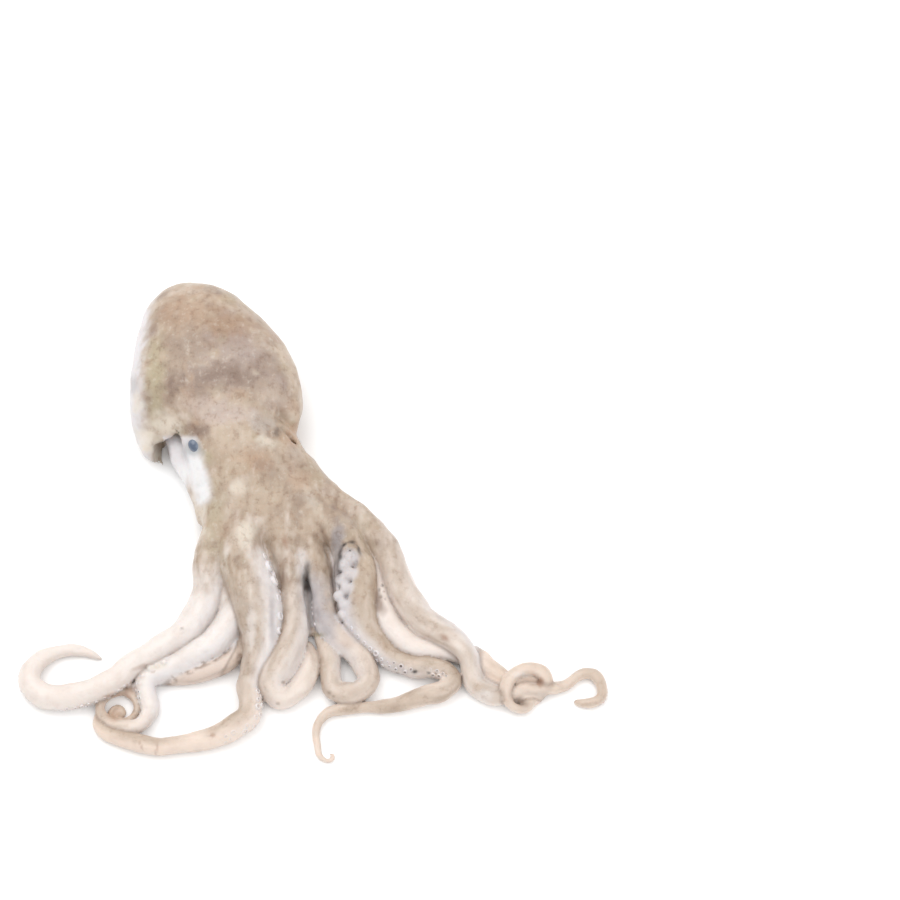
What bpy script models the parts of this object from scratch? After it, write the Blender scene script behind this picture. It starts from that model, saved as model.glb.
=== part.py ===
"""Whole raw octopus lying on a flat surface: mantle, head, eye, funnel, web and eight arms.

Metres, Z up. X runs along the fan of arms, Y runs from the arms to the mantle.
The skin and flesh are one solid, so every shape is fused and the result is one object.
"""
import math

import bmesh
import bpy
from mathutils import Vector

MM = 0.001

# Driving dimensions, millimetres
MANTLE_HEIGHT = 35.0
MANTLE_SIDES = 36
COLLAR_LIP = 2.6
COLLAR_RECESS = 9.0
HEAD_CENTRE = (-27.0, 31.0, 10.0)
HEAD_RADII = (22.0, 22.0, 17.0)
SHOULDER_CENTRE = (-21.5, 26.0, 7.0)
SHOULDER_RADII = (15.5, 17.0, 16.0)
EYE_CENTRE = (-47.0, 31.0, 18.0)
EYE_RADIUS = 3.0
FUNNEL_ROUTE = ((-54.0, 41.0, 8.5, 5.4), (-51.5, 32.0, 8.0, 5.4), (-47.5, 22.0, 7.5, 5.0),
                (-42.8, 14.0, 7.0, 3.8), (-39.5, 8.0, 6.5, 2.8))
CROWN_CENTRE = (-19.0, 17.0, 6.0)
CROWN_RADII = (25.0, 21.0, 14.0)
WEB_THICKNESS = 3.0
ARM_SIDES = 8
FOOT_PRESS = 0.9
STEP_RATIO = 0.95
SMALLEST_STEP = 1.7
LENGTH_OF_PIECE = 30.0
JOIN_SHRINK = 0.94
SUCKER_SIDES = 6
SUCKER_RATIO = 0.28
SUCKER_PITCH = 1.35
SMALLEST_SUCKER = 0.85
SHORTEST_EDGE = 0.45
ORIGIN_SHIFT = (-1.76, -6.1)

# Mantle sections from the closed end to the collar: y, left x, right x, share of the height
MANTLE_SECTIONS = (
    (107.3, -55.5, -48.5, 0.44), (106.3, -59.0, -43.5, 0.53), (104.5, -62.5, -36.0, 0.63),
    (101.0, -65.5, -30.5, 0.73),
    (94.0, -69.0, -24.0, 0.85), (84.0, -71.0, -15.5, 0.94), (74.0, -72.0, -9.5, 1.00),
    (64.0, -73.0, -6.0, 1.00), (54.0, -73.0, -4.2, 0.96), (46.0, -72.0, -5.0, 0.90),
    (40.0, -70.5, -7.0, 0.81), (35.0, -67.5, -9.0, 0.72),
)

# Arm routes from the crown to the tip: x, y, clearance under the arm, radius
ARM_FAR_LEFT = (
    (-30, 23, 9, 5.6), (-35, 4, 5, 6.4), (-39, -13, 2, 6.6), (-39, -25, 0.5, 6.4),
    (-43, -35, 0, 6.2), (-48, -43, 0, 5.8), (-55, -48, 0, 5.2), (-61, -52, 0.5, 4.8),
    (-68, -57, 1.5, 4.8), (-74, -63, 2, 4.8), (-81, -67, 1, 4.9), (-88, -69, 0, 5.0),
    (-95, -70, 0, 5.0), (-102, -69, 0, 4.7), (-107, -64, 0, 4.3), (-107, -58, 0, 3.9),
    (-103, -53, 0, 3.3), (-97, -50, 0, 2.7), (-91, -49, 0, 2.2), (-85, -50, 0, 1.6),
    (-81, -52, 0, 0.8),
)
ARM_LEFT_RING = (
    (-29, 21, 5, 5.6), (-29, -4, 2, 6.2), (-29, -24, 0.5, 6.4), (-30, -37, 0.5, 6.0),
    (-36, -47, 0.5, 5.7), (-43, -52, 0.5, 5.3), (-49, -55.5, 0, 4.9), (-55, -58.5, 0, 4.5),
    (-60, -60.5, 0, 4.2), (-63, -64, 0, 4.0), (-61.5, -70, 0, 3.7), (-60.5, -75, 0, 3.5),
    (-63, -80, 0.5, 3.0), (-67, -82, 1, 2.7), (-73, -81.3, 1, 2.5), (-77.5, -78.7, 1, 2.3),
    (-79.7, -74.8, 1, 2.1), (-79.3, -70.5, 0.5, 2.0), (-76.3, -67.5, 0, 1.9),
    (-71.7, -66.3, 0, 1.8), (-67.6, -68.4, 0, 1.7), (-65.6, -72.6, 0, 1.6),
    (-66.8, -76.6, 0, 1.5), (-70.2, -78.6, 0, 1.4), (-74, -78.2, 0, 1.3), (-75.8, -75.7, 0, 1.2),
    (-74.6, -73.2, 0, 1.15), (-72, -72.8, 0, 1.1), (-70.7, -74.8, 0, 1.0), (-72.2, -76, 0, 0.8),
)
ARM_LONG_BEND = (
    (-26, 19, 9, 5.6), (-28, -2, 6, 7.2), (-25, -19, 3, 9.0), (-21, -31, 1, 9.6),
    (-19, -42, 0, 8.6), (-19, -50, 0, 7.2), (-21, -58, 0, 5.6), (-23, -65, 0, 4.5),
    (-22, -72, 0, 4.6), (-23, -78, 0, 4.8), (-28, -82, 0, 4.4), (-35, -86, 0, 4.2),
    (-43, -88, 0, 3.8), (-50, -89, 0, 3.5), (-57, -89.7, 0, 3.4), (-64, -88.5, 0, 3.4),
    (-71, -86.5, 0, 3.2), (-77, -84, 0, 2.9), (-80, -80.5, 0, 2.4), (-80.5, -77, 0, 1.8),
)
ARM_SHORT_HOOK = (
    (-19, 15, 9, 5.6), (-12, -2, 6, 6.0), (-8, -16, 4, 5.2), (-7, -30, 2, 5.0),
    (-6, -41, 1, 5.6), (-8, -51, 0, 6.4), (-11, -58, 0, 6.4), (-14, -64, 0, 5.6),
    (-13, -68, 0, 4.8), (-9, -70, 0, 4.3), (-5.2, -67.2, 0, 4.3), (-1.8, -62.5, 0, 4.3),
    (0.3, -57, 0, 3.9), (0.3, -51.5, 0, 3.1), (-0.6, -47, 0, 1.8),
)
ARM_MIDDLE_HOOK = (
    (-14, 15, 9, 5.2), (-4, -1, 6, 5.2), (2, -15, 3, 5.0), (5, -27, 2, 4.6),
    (6, -37, 1, 5.0), (11, -45, 0.5, 5.0), (17, -50, 0, 4.8), (21, -56, 0, 4.8),
    (23, -62, 0, 4.3), (20, -67, 0, 4.1), (15, -68, 0, 4.1), (10, -66, 0, 4.1),
    (8.3, -60, 0, 4.1), (8.2, -54.5, 0, 4.0), (6.8, -49.5, 0, 3.6), (4.8, -45, 0, 2.8),
    (3.2, -41, 0, 1.8),
)
ARM_LONG_RETURN = (
    (-9, 17, 9, 5.2), (4, 5, 6, 6.0), (13, -5, 4, 6.8), (17, -16, 2, 7.6),
    (18, -26, 1, 8.0), (19, -35, 0.5, 7.2), (22, -43, 0, 6.0), (27, -49, 0, 5.0),
    (32, -54, 0, 4.4), (40, -57, 0, 4.1), (47, -57, 0, 3.9), (53, -59, 0, 4.0),
    (55, -63, 0, 4.0), (51, -67, 0, 4.1), (46, -68, 0, 4.1), (40, -70, 0, 3.6),
    (35, -72, 0, 3.2), (29, -73, 0, 2.8), (22, -73, 0, 2.4), (14, -74, 0, 2.2),
    (8, -75, 0, 2.1), (4, -79, 0, 1.8), (3, -84, 0, 1.7), (4, -90, 0, 1.4),
    (5, -93, 0, 1.2), (8, -95, 0, 1.0), (10, -93, 0, 0.9), (9, -92, 0, 0.7),
)
ARM_UNDER = (
    (-5, 20, 3, 4.8), (11, 1, 1, 5.6), (21, -14, 0, 5.6), (25, -27, 0, 5.2),
    (28.5, -36, 0, 5.3), (33.5, -43.5, 0, 5.0), (39.5, -48.5, 0, 4.4), (47, -50, 0, 3.8),
    (54, -51, 0, 3.4), (61, -53, 0, 3.5), (67.5, -56, 0, 3.6), (73, -59.5, 0, 3.4),
    (78, -62.5, 0, 3.0), (83, -63.5, 0, 2.7), (87.5, -65.5, 0, 2.5), (90.8, -65.2, 0.8, 2.5),
    (91.3, -62.5, 2.2, 2.5), (89.8, -60, 3.6, 2.5), (86, -58.6, 4, 2.5), (81.3, -59.5, 4, 2.5),
    (77.5, -62.6, 4, 2.5), (75.8, -67, 3.5, 2.4), (76.6, -71.5, 2.5, 2.1), (79.6, -74, 1.5, 1.9),
    (83.5, -73.7, 1, 1.8), (86, -71.4, 0.5, 1.5),
)
ARM_RIGHT_EDGE = (
    (-5, 21.5, 8, 4.6), (7.2, 13.4, 4, 5.4), (19, 4, 2, 5.9), (28, -7, 1, 6.0),
    (33, -18, 0.5, 5.8), (37, -28, 0, 6.0), (42, -36, 0, 6.0), (49, -42, 1, 5.6),
    (56, -47, 2.5, 5.0), (61, -53, 2.5, 4.4), (62.5, -59, 1, 4.1), (64.5, -65, 0, 4.0),
    (69.5, -68.3, 0, 3.9), (74.5, -69, 0, 3.4), (78.7, -68, 0.5, 2.8), (83, -66.4, 1.6, 2.6),
    (87.8, -66.8, 2, 2.5), (92.3, -65.8, 1, 2.4), (96.5, -64.6, 0, 2.2), (100, -63, 0, 2.1),
    (103.5, -60, 0, 2.2), (107, -58.7, 0, 2.2), (110.5, -60, 0, 2.2), (112.6, -64, 0, 2.2),
    (112.5, -69, 0, 2.1), (109, -71, 0, 1.9), (105, -71, 0, 1.6), (103, -70.5, 0, 1.1),
)

# Loose fold of skin along the lower edge of the left ring arm
FOLD = ((-26, -44, 0, 3.6), (-28, -50.5, 0, 3.7), (-31.5, -54.8, 0, 3.8), (-37, -57.5, 0, 3.7),
        (-42.5, -59.5, 0, 3.6), (-48, -60.7, 0, 3.1), (-54, -61, 0, 2.6), (-58, -61, 0, 2.0))

# Second lobe beside the right-hand arm where it turns down
LOBE = ((64, -50, 1, 2.2), (67.3, -53.5, 1, 2.8), (67.8, -57, 0.5, 2.6), (66.3, -60.5, 0, 2.0))

# Arms in order round the crown: route, side its suckers face, where they start and end
ARMS = (
    (ARM_FAR_LEFT, 1, 0.34, 0.50),
    (ARM_LEFT_RING, 1, 0.36, 0.60),
    (ARM_LONG_BEND, 1, 0.26, 0.70),
    (ARM_SHORT_HOOK, 1, 0.36, 0.94),
    (ARM_MIDDLE_HOOK, -1, 0.30, 0.90),
    (ARM_LONG_RETURN, -1, 0.20, 0.80),
    (ARM_UNDER, -1, 0.30, 0.80),
    (ARM_RIGHT_EDGE, -1, 0.32, 0.86),
)

# Webs between neighbours: first arm, second arm, reach along each one in millimetres
WEBS = (
    (0, 1, 56.0, 58.0), (1, 2, 66.0, 66.0), (2, 3, 76.0, 70.0), (3, 4, 33.0, 33.0),
    (4, 5, 66.0, 62.0), (5, 6, 66.0, 64.0), (6, 7, 58.0, 66.0),
)


def clear_scene():
    """Remove everything the scene starts with."""
    for item in list(bpy.data.objects):
        bpy.data.objects.remove(item, do_unlink=True)


def link_mesh(name, vertices, faces, collection):
    """Make one mesh object out of millimetre vertices, with its faces turned outwards."""
    mesh = bpy.data.meshes.new(name)
    mesh.from_pydata([tuple(c * MM for c in v) for v in vertices], [], faces)
    work = bmesh.new()
    work.from_mesh(mesh)
    bmesh.ops.recalc_face_normals(work, faces=work.faces)
    work.to_mesh(mesh)
    work.free()
    item = bpy.data.objects.new(name, mesh)
    collection.objects.link(item)
    return item


def curve_point(before, start, end, after, t):
    """Catmull-Rom interpolation between start and end."""
    result = []
    for a, b, c, d in zip(before, start, end, after):
        linear = (c - a) * t
        square = (2 * a - 5 * b + 4 * c - d) * t * t
        cube = (3 * b - 3 * c + d - a) * t * t * t
        result.append(0.5 * (2 * b + linear + square + cube))
    return result


def smooth_route(stations, step_ratio=STEP_RATIO):
    """Resample a route; a step is a share of the radius. Gives (centre, radius) pairs."""
    rows = [(x, y, clear + FOOT_PRESS * r, r) for x, y, clear, r in stations]
    dense = []
    for i in range(len(rows) - 1):
        before = rows[max(i - 1, 0)]
        after = rows[min(i + 2, len(rows) - 1)]
        for k in range(12):
            dense.append(curve_point(before, rows[i], rows[i + 1], after, k / 12))
    dense.append(list(rows[-1]))
    route = [(Vector(dense[0][:3]), dense[0][3])]
    travelled = 0.0
    for last, now in zip(dense, dense[1:]):
        travelled += (Vector(now[:3]) - Vector(last[:3])).length
        if travelled >= max(step_ratio * now[3], SMALLEST_STEP):
            route.append((Vector(now[:3]), now[3]))
            travelled = 0.0
    if travelled > 0.4:
        route.append((Vector(dense[-1][:3]), dense[-1][3]))
    return route


def frames_of(route):
    """Forward, side and up directions at each station of a route."""
    result = []
    for i in range(len(route)):
        ahead = route[min(i + 1, len(route) - 1)][0]
        behind = route[max(i - 1, 0)][0]
        forward = (ahead - behind).normalized()
        side = Vector((0, 0, 1)).cross(forward).normalized()
        result.append((forward, side, forward.cross(side)))
    return result


def tube_mesh(name, route, frames, sides, collection):
    """Closed tapered tube along a route, with a domed cap at each end."""
    rings = []
    first, last = route[0], route[-1]
    stations = [(first[0] - frames[0][0] * first[1] * 0.45, first[1] * 0.62, frames[0])]
    for (centre, radius), frame in zip(route, frames):
        stations.append((centre, radius, frame))
    stations.append((last[0] + frames[-1][0] * last[1] * 0.45, last[1] * 0.62, frames[-1]))
    for centre, radius, (_, side, up) in stations:
        ring = []
        for k in range(sides):
            angle = 2 * math.pi * (k + 0.5) / sides
            ring.append(centre + side * radius * math.cos(angle) + up * radius * math.sin(angle))
        rings.append(ring)
    vertices = [v for ring in rings for v in ring]
    faces = []
    for i in range(len(rings) - 1):
        for k in range(sides):
            a = i * sides + k
            b = i * sides + (k + 1) % sides
            faces.append((a, b, b + sides, a + sides))
    faces.append(tuple(range(sides)))
    end = (len(rings) - 1) * sides
    faces.append(tuple(end + k for k in range(sides)))
    return link_mesh(name, vertices, faces, collection)


def build_arm(name, route, collection):
    """One arm as overlapping lengths, so that a coil never crosses itself inside one mesh."""
    frames = frames_of(route)
    start = 0
    number = 0
    while start < len(route) - 1:
        length = 0.0
        end = start
        while end < len(route) - 1 and length < LENGTH_OF_PIECE:
            end += 1
            length += (route[end][0] - route[end - 1][0]).length
        if len(route) - 1 - end < 4:
            end = len(route) - 1
        piece = list(route[start:end + 1])
        if start:
            piece[0] = (piece[0][0], piece[0][1] * JOIN_SHRINK)
        if end < len(route) - 1:
            piece[-1] = (piece[-1][0], piece[-1][1] * JOIN_SHRINK)
        tube_mesh(f"{name}_{number}", piece, frames[start:end + 1], ARM_SIDES, collection)
        number += 1
        if end == len(route) - 1:
            break
        start = end - 1


def sucker_mesh(name, centre, axis, radius, height, collection):
    """One sucker: a short flared cup with a dished mouth, its root sunk in the arm."""
    axis = axis.normalized()
    across = axis.orthogonal().normalized()
    other = axis.cross(across)
    rings = []
    for share, rise in ((0.8, -1.2), (1.0, 0.75), (0.72, 1.0)):
        ring = []
        for k in range(SUCKER_SIDES):
            angle = 2 * math.pi * k / SUCKER_SIDES
            spoke = across * math.cos(angle) + other * math.sin(angle)
            ring.append(centre + spoke * radius * share + axis * height * rise)
        rings.append(ring)
    vertices = [v for ring in rings for v in ring]
    vertices.append(centre + axis * height * 0.35)
    n = SUCKER_SIDES
    faces = [tuple(range(n))]
    for level in range(2):
        for k in range(n):
            a = level * n + k
            b = level * n + (k + 1) % n
            faces.append((a, b, b + n, a + n))
    for k in range(n):
        faces.append((2 * n + k, 2 * n + (k + 1) % n, 3 * n))
    return link_mesh(name, vertices, faces, collection)


def add_suckers(name, route, side, start, end, collection):
    """A row of suckers along one flank of an arm, shrinking towards the tip."""
    frames = frames_of(route)
    travelled = 0.0
    due = 0.0
    total = sum((b[0] - a[0]).length for a, b in zip(route, route[1:]))
    count = 0
    for i in range(1, len(route)):
        step = (route[i][0] - route[i - 1][0]).length
        travelled += step
        if travelled < total * start or travelled > total * end:
            continue
        due -= step
        if due > 0:
            continue
        centre, radius = route[i]
        size = radius * SUCKER_RATIO
        due = 2 * size * SUCKER_PITCH
        if size < SMALLEST_SUCKER:
            continue
        _, across, up = frames[i]
        tilt = math.radians(22 if count % 2 else -8)
        normal = across * side * math.cos(tilt) + up * math.sin(tilt)
        root = centre + normal * radius * 0.93
        sucker_mesh(f"{name}_{count}", root, normal, size, size * 0.55, collection)
        count += 1


def point_at(route, distance):
    """Centre and radius at a distance along a route."""
    travelled = 0.0
    for (a, ra), (b, rb) in zip(route, route[1:]):
        step = (b - a).length
        if travelled + step >= distance:
            t = (distance - travelled) / step
            return a.lerp(b, t), ra + (rb - ra) * t
        travelled += step
    return route[-1]


def build_web(name, first, second, reach_first, reach_second, collection):
    """Thin skin stretched between two arms, ending in a concave free edge."""
    rows = 7
    columns = 5
    top = []
    for i in range(rows):
        t = i / (rows - 1)
        row = []
        for k in range(columns):
            u = k / (columns - 1)
            hang = 1.0 - 0.30 * math.sin(math.pi * u)
            reach = (4.0 + (reach_first - 4.0) * t * hang, 4.0 + (reach_second - 4.0) * t * hang)
            a, ra = point_at(first, reach[0])
            b, rb = point_at(second, reach[1])
            centre = a.lerp(b, u)
            lift = (ra + (rb - ra) * u) * 0.55
            sag = 1.0 - 0.55 * math.sin(math.pi * u)
            row.append(Vector((centre.x, centre.y, centre.z + lift * sag)))
        top.append(row)
    vertices = [v for row in top for v in row]
    vertices += [Vector((v.x, v.y, min(v.z - WEB_THICKNESS, 1.0))) for v in vertices]
    size = rows * columns
    faces = []
    for i in range(rows - 1):
        for k in range(columns - 1):
            a = i * columns + k
            quad = (a, a + 1, a + columns + 1, a + columns)
            faces.append(quad)
            faces.append(tuple(v + size for v in reversed(quad)))
    rim = [k for k in range(columns)]
    rim += [i * columns + columns - 1 for i in range(1, rows)]
    rim += [(rows - 1) * columns + k for k in range(columns - 2, -1, -1)]
    rim += [i * columns for i in range(rows - 2, 0, -1)]
    for a, b in zip(rim, rim[1:] + rim[:1]):
        faces.append((a, b, b + size, a + size))
    return link_mesh(name, vertices, faces, collection)


def mantle_ring(y, left, right, share, sides):
    """One cross-section of the mantle: a rounded outline that is flatter underneath."""
    top = MANTLE_HEIGHT * share
    low = -1.5
    middle = top * 0.42
    ring = []
    for k in range(sides):
        angle = 2 * math.pi * k / sides
        wide = math.copysign(abs(math.cos(angle)) ** 0.9, math.cos(angle))
        tall = math.copysign(abs(math.sin(angle)) ** 0.9, math.sin(angle))
        x = (left + right) / 2 + (right - left) / 2 * wide
        z = middle + (top - middle if tall > 0 else middle - low) * tall
        ring.append(Vector((x, y, z)))
    return ring


def build_mantle(collection):
    """The egg-shaped body sac, with a rolled collar and a shallow mouth behind it."""
    rings = [mantle_ring(*row, MANTLE_SIDES) for row in MANTLE_SECTIONS]
    y, left, right, share = MANTLE_SECTIONS[-1]
    lip = COLLAR_LIP
    inner_share = share - lip * 1.2 / MANTLE_HEIGHT
    rings.append(mantle_ring(y - 1.6, left + lip * 0.5, right - lip * 0.5,
                             share - 0.5 * lip / MANTLE_HEIGHT, MANTLE_SIDES))
    rings.append(mantle_ring(y + 0.4, left + lip, right - lip, inner_share, MANTLE_SIDES))
    rings.append(mantle_ring(y + COLLAR_RECESS, left + 2 * lip, right - 2 * lip,
                             inner_share - 0.05, MANTLE_SIDES))
    vertices = [v for ring in rings for v in ring]
    n = MANTLE_SIDES
    faces = []
    for i in range(len(rings) - 1):
        for k in range(n):
            a = i * n + k
            b = i * n + (k + 1) % n
            faces.append((a, b, b + n, a + n))
    tip = len(vertices)
    vertices.append(Vector((-52.0, 107.8, MANTLE_HEIGHT * 0.22)))
    faces += [(k, (k + 1) % n, tip) for k in range(n)]
    floor = len(vertices)
    vertices.append(Vector(((left + right) / 2, y + COLLAR_RECESS + 2, MANTLE_HEIGHT * 0.35)))
    end = (len(rings) - 1) * n
    faces += [(end + k, end + (k + 1) % n, floor) for k in range(n)]
    return link_mesh("mantle", vertices, faces, collection)


def ellipsoid(name, centre, radii, rings, sides, collection):
    """Closed ellipsoid with its poles on the Z axis."""
    vertices = [Vector((centre[0], centre[1], centre[2] + radii[2]))]
    for i in range(1, rings):
        polar = math.pi * i / rings
        for k in range(sides):
            angle = 2 * math.pi * (k + 0.3) / sides
            vertices.append(Vector((
                centre[0] + radii[0] * math.sin(polar) * math.cos(angle),
                centre[1] + radii[1] * math.sin(polar) * math.sin(angle),
                centre[2] + radii[2] * math.cos(polar),
            )))
    vertices.append(Vector((centre[0], centre[1], centre[2] - radii[2])))
    faces = []
    for k in range(sides):
        faces.append((0, 1 + k, 1 + (k + 1) % sides))
    for i in range(rings - 2):
        for k in range(sides):
            a = 1 + i * sides + k
            b = 1 + i * sides + (k + 1) % sides
            faces.append((a, b, b + sides, a + sides))
    last = len(vertices) - 1
    base = 1 + (rings - 2) * sides
    for k in range(sides):
        faces.append((base + k, base + (k + 1) % sides, last))
    return link_mesh(name, vertices, faces, collection)


def build_head(collection):
    """Head, eye bulge, crown over the mouth, and the funnel along the head's left side."""
    ellipsoid("head", HEAD_CENTRE, HEAD_RADII, 10, 18, collection)
    ellipsoid("shoulder", SHOULDER_CENTRE, SHOULDER_RADII, 10, 18, collection)
    ellipsoid("crown", CROWN_CENTRE, CROWN_RADII, 10, 20, collection)
    ellipsoid("eye", EYE_CENTRE, (EYE_RADIUS * 1.2, EYE_RADIUS, EYE_RADIUS), 7, 12, collection)
    ellipsoid("brow", (-43.0, 33.5, 16.0), (7.0, 6.0, 6.5), 7, 12, collection)
    route = [(Vector(p[:3]), p[3]) for p in FUNNEL_ROUTE]
    tube_mesh("funnel", route, frames_of(route), 10, collection)


def run_boolean(body, operation, **target):
    """Apply one Boolean with the MANIFOLD solver to the body."""
    step = body.modifiers.new("fuse", "BOOLEAN")
    step.operation = operation
    step.solver = "MANIFOLD"
    for field, value in target.items():
        setattr(step, field, value)
    bpy.context.view_layer.objects.active = body
    bpy.ops.object.modifier_apply(modifier=step.name)


def remove_all(items):
    """Remove helper objects that have been used up."""
    for item in list(items):
        bpy.data.objects.remove(item, do_unlink=True)


def fuse(body, collection):
    """Join the body with every shape in the collection, then remove those shapes."""
    run_boolean(body, "UNION", operand_type="COLLECTION", collection=collection)
    remove_all(collection.objects)
    bpy.data.collections.remove(collection)


def trim_foot(body, scene_collection):
    """Cut the underside flat where the body lies on the surface, at Z = 0."""
    low, high, far = -40.0, 0.0, 200.0
    vertices = [(x, y, z) for z in (low, high) for y in (-far, far) for x in (-far, far)]
    faces = [(0, 2, 3, 1), (4, 5, 7, 6), (0, 1, 5, 4), (2, 6, 7, 3), (0, 4, 6, 2), (1, 3, 7, 5)]
    block = link_mesh("surface_block", vertices, faces, scene_collection)
    run_boolean(body, "DIFFERENCE", operand_type="OBJECT", object=block)
    remove_all([block])


def islands(work):
    """Vertex sets of the separate shells in a mesh."""
    unseen = set(work.verts)
    result = []
    while unseen:
        stack = [unseen.pop()]
        shell = set(stack)
        while stack:
            for edge in stack.pop().link_edges:
                for vertex in edge.verts:
                    if vertex in unseen:
                        unseen.discard(vertex)
                        shell.add(vertex)
                        stack.append(vertex)
        result.append(shell)
    return result


def folds_over(vertex, partner, target):
    """Whether moving a vertex to the target would turn one of its faces over."""
    for face in vertex.link_faces:
        if partner in face.verts:
            continue
        corners = [v.co for v in face.verts]
        moved = [target if v is vertex else v.co for v in face.verts]
        before = (corners[1] - corners[0]).cross(corners[2] - corners[0])
        after = (moved[1] - moved[0]).cross(moved[2] - moved[0])
        if after.length < 1e-11:
            return True
        if before.length > 1e-11 and before.normalized().dot(after.normalized()) < 0.4:
            return True
    return False


def merge_point(a, b):
    """Where two close vertices meet; a vertex on the flat underside stays on it."""
    if a.co.z < 1e-7 < b.co.z:
        return a.co.copy()
    if b.co.z < 1e-7 < a.co.z:
        return b.co.copy()
    return (a.co + b.co) / 2


def collapse_short_edges(work, limit):
    """Merge the ends of very short edges wherever the surface stays closed and unfolded."""
    for _ in range(6):
        short = [edge for edge in work.edges if edge.calc_length() < limit]
        short.sort(key=lambda edge: (edge.calc_length(), edge.index))
        merged = 0
        for edge in short:
            if not edge.is_valid:
                continue
            a, b = edge.verts
            near_a = {e.other_vert(a) for e in a.link_edges}
            near_b = {e.other_vert(b) for e in b.link_edges}
            if len(near_a & near_b) != 2 or len(near_a | near_b) < 6:
                continue
            target = merge_point(a, b)
            if folds_over(a, b, target) or folds_over(b, a, target):
                continue
            bmesh.ops.pointmerge(work, verts=[a, b], merge_co=target)
            merged += 1
        work.edges.index_update()
        if not merged:
            break


def keep_largest(body):
    """Fill sealed hollows and drop loose scraps, leaving one closed shell."""
    work = bmesh.new()
    work.from_mesh(body.data)
    shells = sorted(islands(work), key=len, reverse=True)
    for shell in shells[1:]:
        bmesh.ops.delete(work, geom=list(shell), context="VERTS")
    bmesh.ops.triangulate(work, faces=work.faces)
    collapse_short_edges(work, SHORTEST_EDGE * MM)
    work.to_mesh(body.data)
    work.free()


def skin_material():
    """Damp mottled skin, one material for the whole solid."""
    material = bpy.data.materials.new("octopus_skin")
    material.use_nodes = True
    shader = material.node_tree.nodes["Principled BSDF"]
    shader.inputs["Base Color"].default_value = (0.58, 0.48, 0.38, 1.0)
    shader.inputs["Roughness"].default_value = 0.32
    shader.inputs["Subsurface Weight"].default_value = 0.15
    shader.inputs["Subsurface Radius"].default_value = (0.004, 0.002, 0.0012)
    return material


def build_octopus():
    """Build every shape, fuse them into one solid and finish its surface."""
    scene_collection = bpy.context.scene.collection
    shapes = bpy.data.collections.new("shapes")
    scene_collection.children.link(shapes)
    build_mantle(scene_collection)
    body = scene_collection.objects["mantle"]
    body.name = "octopus"
    build_head(shapes)
    routes = [smooth_route(row[0]) for row in ARMS]
    for number, (route, row) in enumerate(zip(routes, ARMS)):
        build_arm(f"arm_{number}", route, shapes)
        add_suckers(f"sucker_{number}", route, row[1], row[2], row[3], shapes)
    build_arm("fold", smooth_route(FOLD), shapes)
    build_arm("lobe", smooth_route(LOBE), shapes)
    for a, b, reach_a, reach_b in WEBS:
        build_web(f"web_{a}", routes[a], routes[b], reach_a, reach_b, shapes)
    fuse(body, shapes)
    trim_foot(body, scene_collection)
    keep_largest(body)
    body.data.name = "octopus"
    body.data.materials.clear()
    body.data.materials.append(skin_material())
    for vertex in body.data.vertices:
        vertex.co.x += ORIGIN_SHIFT[0] * MM
        vertex.co.y += ORIGIN_SHIFT[1] * MM
    body.data.shade_smooth()
    body.data.set_sharp_from_angle(angle=math.radians(50))
    return body


clear_scene()
build_octopus()
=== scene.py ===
"""Dressed model of a whole raw octopus that lies on a pale floor.

The flesh is one closed skin, found as the surface of a distance field that is made from the same
routes and sections as the solid model. Suckers and the eye are pieces of their own.
Lengths inside the builders are millimetres; meshes are made in metres.
"""

import logging
import math
from dataclasses import dataclass, field
from enum import Enum

import bpy
import numpy as np
from mathutils import Matrix, Vector


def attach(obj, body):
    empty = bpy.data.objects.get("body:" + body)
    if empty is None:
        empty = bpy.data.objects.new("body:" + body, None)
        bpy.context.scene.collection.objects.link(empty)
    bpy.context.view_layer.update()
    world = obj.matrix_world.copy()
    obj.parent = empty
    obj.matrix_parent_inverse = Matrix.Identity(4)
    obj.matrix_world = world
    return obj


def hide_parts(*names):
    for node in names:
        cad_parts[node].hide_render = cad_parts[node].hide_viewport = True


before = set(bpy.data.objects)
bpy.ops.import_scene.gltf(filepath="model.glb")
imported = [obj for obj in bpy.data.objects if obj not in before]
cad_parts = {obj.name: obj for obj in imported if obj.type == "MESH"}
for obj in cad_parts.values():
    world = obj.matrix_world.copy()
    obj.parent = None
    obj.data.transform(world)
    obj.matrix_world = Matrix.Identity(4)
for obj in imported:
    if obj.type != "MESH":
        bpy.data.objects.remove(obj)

logging.basicConfig(level=logging.INFO, format="%(message)s")
LOG = logging.getLogger("octopus")

MM = 0.001
SHIFT = np.array([-1.76, -6.10, 0.0])
SIGHT_SHEAR = 0.532
FAR_AWAY = 99.0
Stations = tuple[tuple[float, float, float, float], ...]
Rows = tuple[tuple[float, float], ...]
Triple = tuple[float, float, float]
Rgba = tuple[float, float, float, float]
Ball = tuple[Triple, Triple]


class Side(Enum):
    """Which flank of an arm its suckers face, seen walking towards the tip."""

    LEFT = 1.0
    RIGHT = -1.0


def smooth_interval(low: float, high: float, value: np.ndarray) -> np.ndarray:
    """Ease from 0 at low to 1 at high.

    Args:
        low: Value where the result is 0.
        high: Value where the result is 1.
        value: Numbers to ease.

    Returns:
        Array of the same shape between 0 and 1.
    """
    t = np.clip((value - low) / (high - low), 0.0, 1.0)
    return t * t * (3.0 - 2.0 * t)


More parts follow.
